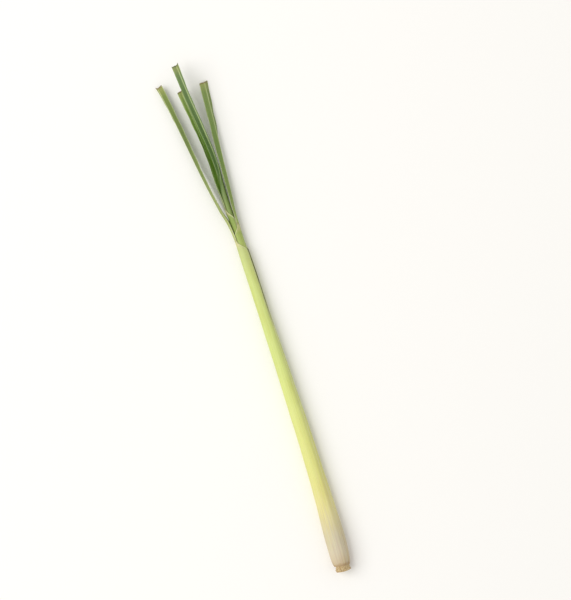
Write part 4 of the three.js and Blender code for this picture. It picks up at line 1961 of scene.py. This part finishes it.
MIDDLE_LEAF = SheathedLeaf(
    name="middle_leaf",
    part=Part.LEAF_2,
    finish=MIDDLE_FINISH,
    layer=1,
    start=9.0,
    tip=458.0,
    shares=columns(36, 36),
    blade=Blade(
        facing=Profile(((0, -6), (0.35, 18), (1, 58))),
        drift=Profile(((0, 0), (0.2, 1.4), (0.6, 5.2), (1, 9))),
        rise=Profile(((0, 0), (0.2, 0.9), (0.6, 0.6), (1, -0.8))),
        fold=Profile(((0, 0), (0.15, 14), (0.5, 26), (1, 20))),
        curl=Profile(((0, 0.23), (0.12, 0.12), (0.3, 0.03), (1, 0.01))),
        half_width=Profile(((0, 4.4), (0.3, 4.8), (1, 4.8))),
        tip_slant=-0.8,
        ripple=Ripple(13, 0.3, (53.0, 31.0, 19.0)),
        fray=Ripple(14, 0.55, (2.9, 1.4, 0.8, 0.41)),
    ),
    midrib=Profile(((0, 20), (100, 10), (326, -6), (420, -6))),
    mouth_half_width=4.4,
    rim_slant=0.5,
    rim_lowest=20.0,
    settles=True,
)

INNER_LEAF = SheathedLeaf(
    name="inner_leaf",
    part=Part.LEAF_3,
    finish=INNER_FINISH,
    layer=2,
    start=10.4,
    tip=456.0,
    shares=columns(36, 36),
    blade=Blade(
        facing=Profile(((0, 205), (0.45, 218), (0.7, 238), (1, 256))),
        drift=Profile(((0, 0), (0.22, -0.9), (0.45, -1), (0.7, -2.4), (1, -5.2))),
        rise=Profile(((0, 0), (0.3, 0.2), (0.6, 1.6), (1, 3.4))),
        fold=Profile(((0, 0), (0.2, 18), (0.5, 28), (1, 22))),
        curl=Profile(((0, 0.27), (0.12, 0.16), (0.3, 0.06), (1, 0.02))),
        half_width=Profile(((0, 4.1), (0.3, 4.8), (1, 4.8))),
        tip_slant=1.2,
        tip_notch=0.4,
        ripple=Ripple(15, 0.25, (49.0, 27.0, 15.0)),
        fray=Ripple(16, 0.55, (3.3, 1.2, 0.75, 0.4)),
    ),
    midrib=Profile(((0, 190), (342, 205), (420, 205))),
    mouth_half_width=4.1,
)

HEART_LEAF = HeartLeaf(
    name="rolled_heart_leaf",
    part=Part.HEART,
    finish=HEART_FINISH,
    layer=3,
    start=12.8,
    tip=478.0,
    shares=columns(28, 28),
    blade=Blade(
        facing=Profile(((0, -20), (0.3, -48), (1, -54))),
        drift=Profile(((0, 0), (0.3, 0.7), (0.54, -1.9), (0.76, -5), (1, -7.6))),
        rise=Profile(((0, 0), (0.3, 3), (0.6, 6.6), (1, 11))),
        fold=Profile(((0, 80), (0.4, 66), (1, 42))),
        half_width=Profile(((0, 1.8), (0.25, 4.2), (0.5, 4.8), (1, 4.8))),
        crease=2.2,
        tip_slant=0.6,
        tip_notch=0.8,
        ripple=Ripple(17, 0.2, (43.0, 25.0, 15.0)),
        fray=Ripple(18, 0.55, (3.0, 1.5, 0.7, 0.4)),
    ),
)

CROWN = RootCrown(name="woody_crown", part=Part.CROWN, finish=CrownFinish())

HAIRS = RootFibres(name="root_fibres", part=Part.CROWN, finish=FibreFinish())


def main() -> None:
    """Builds the stalk piece by piece, and the studio round it."""
    logging.basicConfig(level=logging.INFO, format="%(message)s")
    studio = Studio()
    studio.camera()
    for grown in (OUTER_LEAF, MIDDLE_LEAF, INNER_LEAF, HEART_LEAF, CROWN, HAIRS):
        piece = grown.build()
        grown.dress(piece)
        LOG.info("%s: %d faces", piece.name, len(piece.data.polygons))
    studio.floor()
    studio.light()


if __name__ == "__main__":
    main()
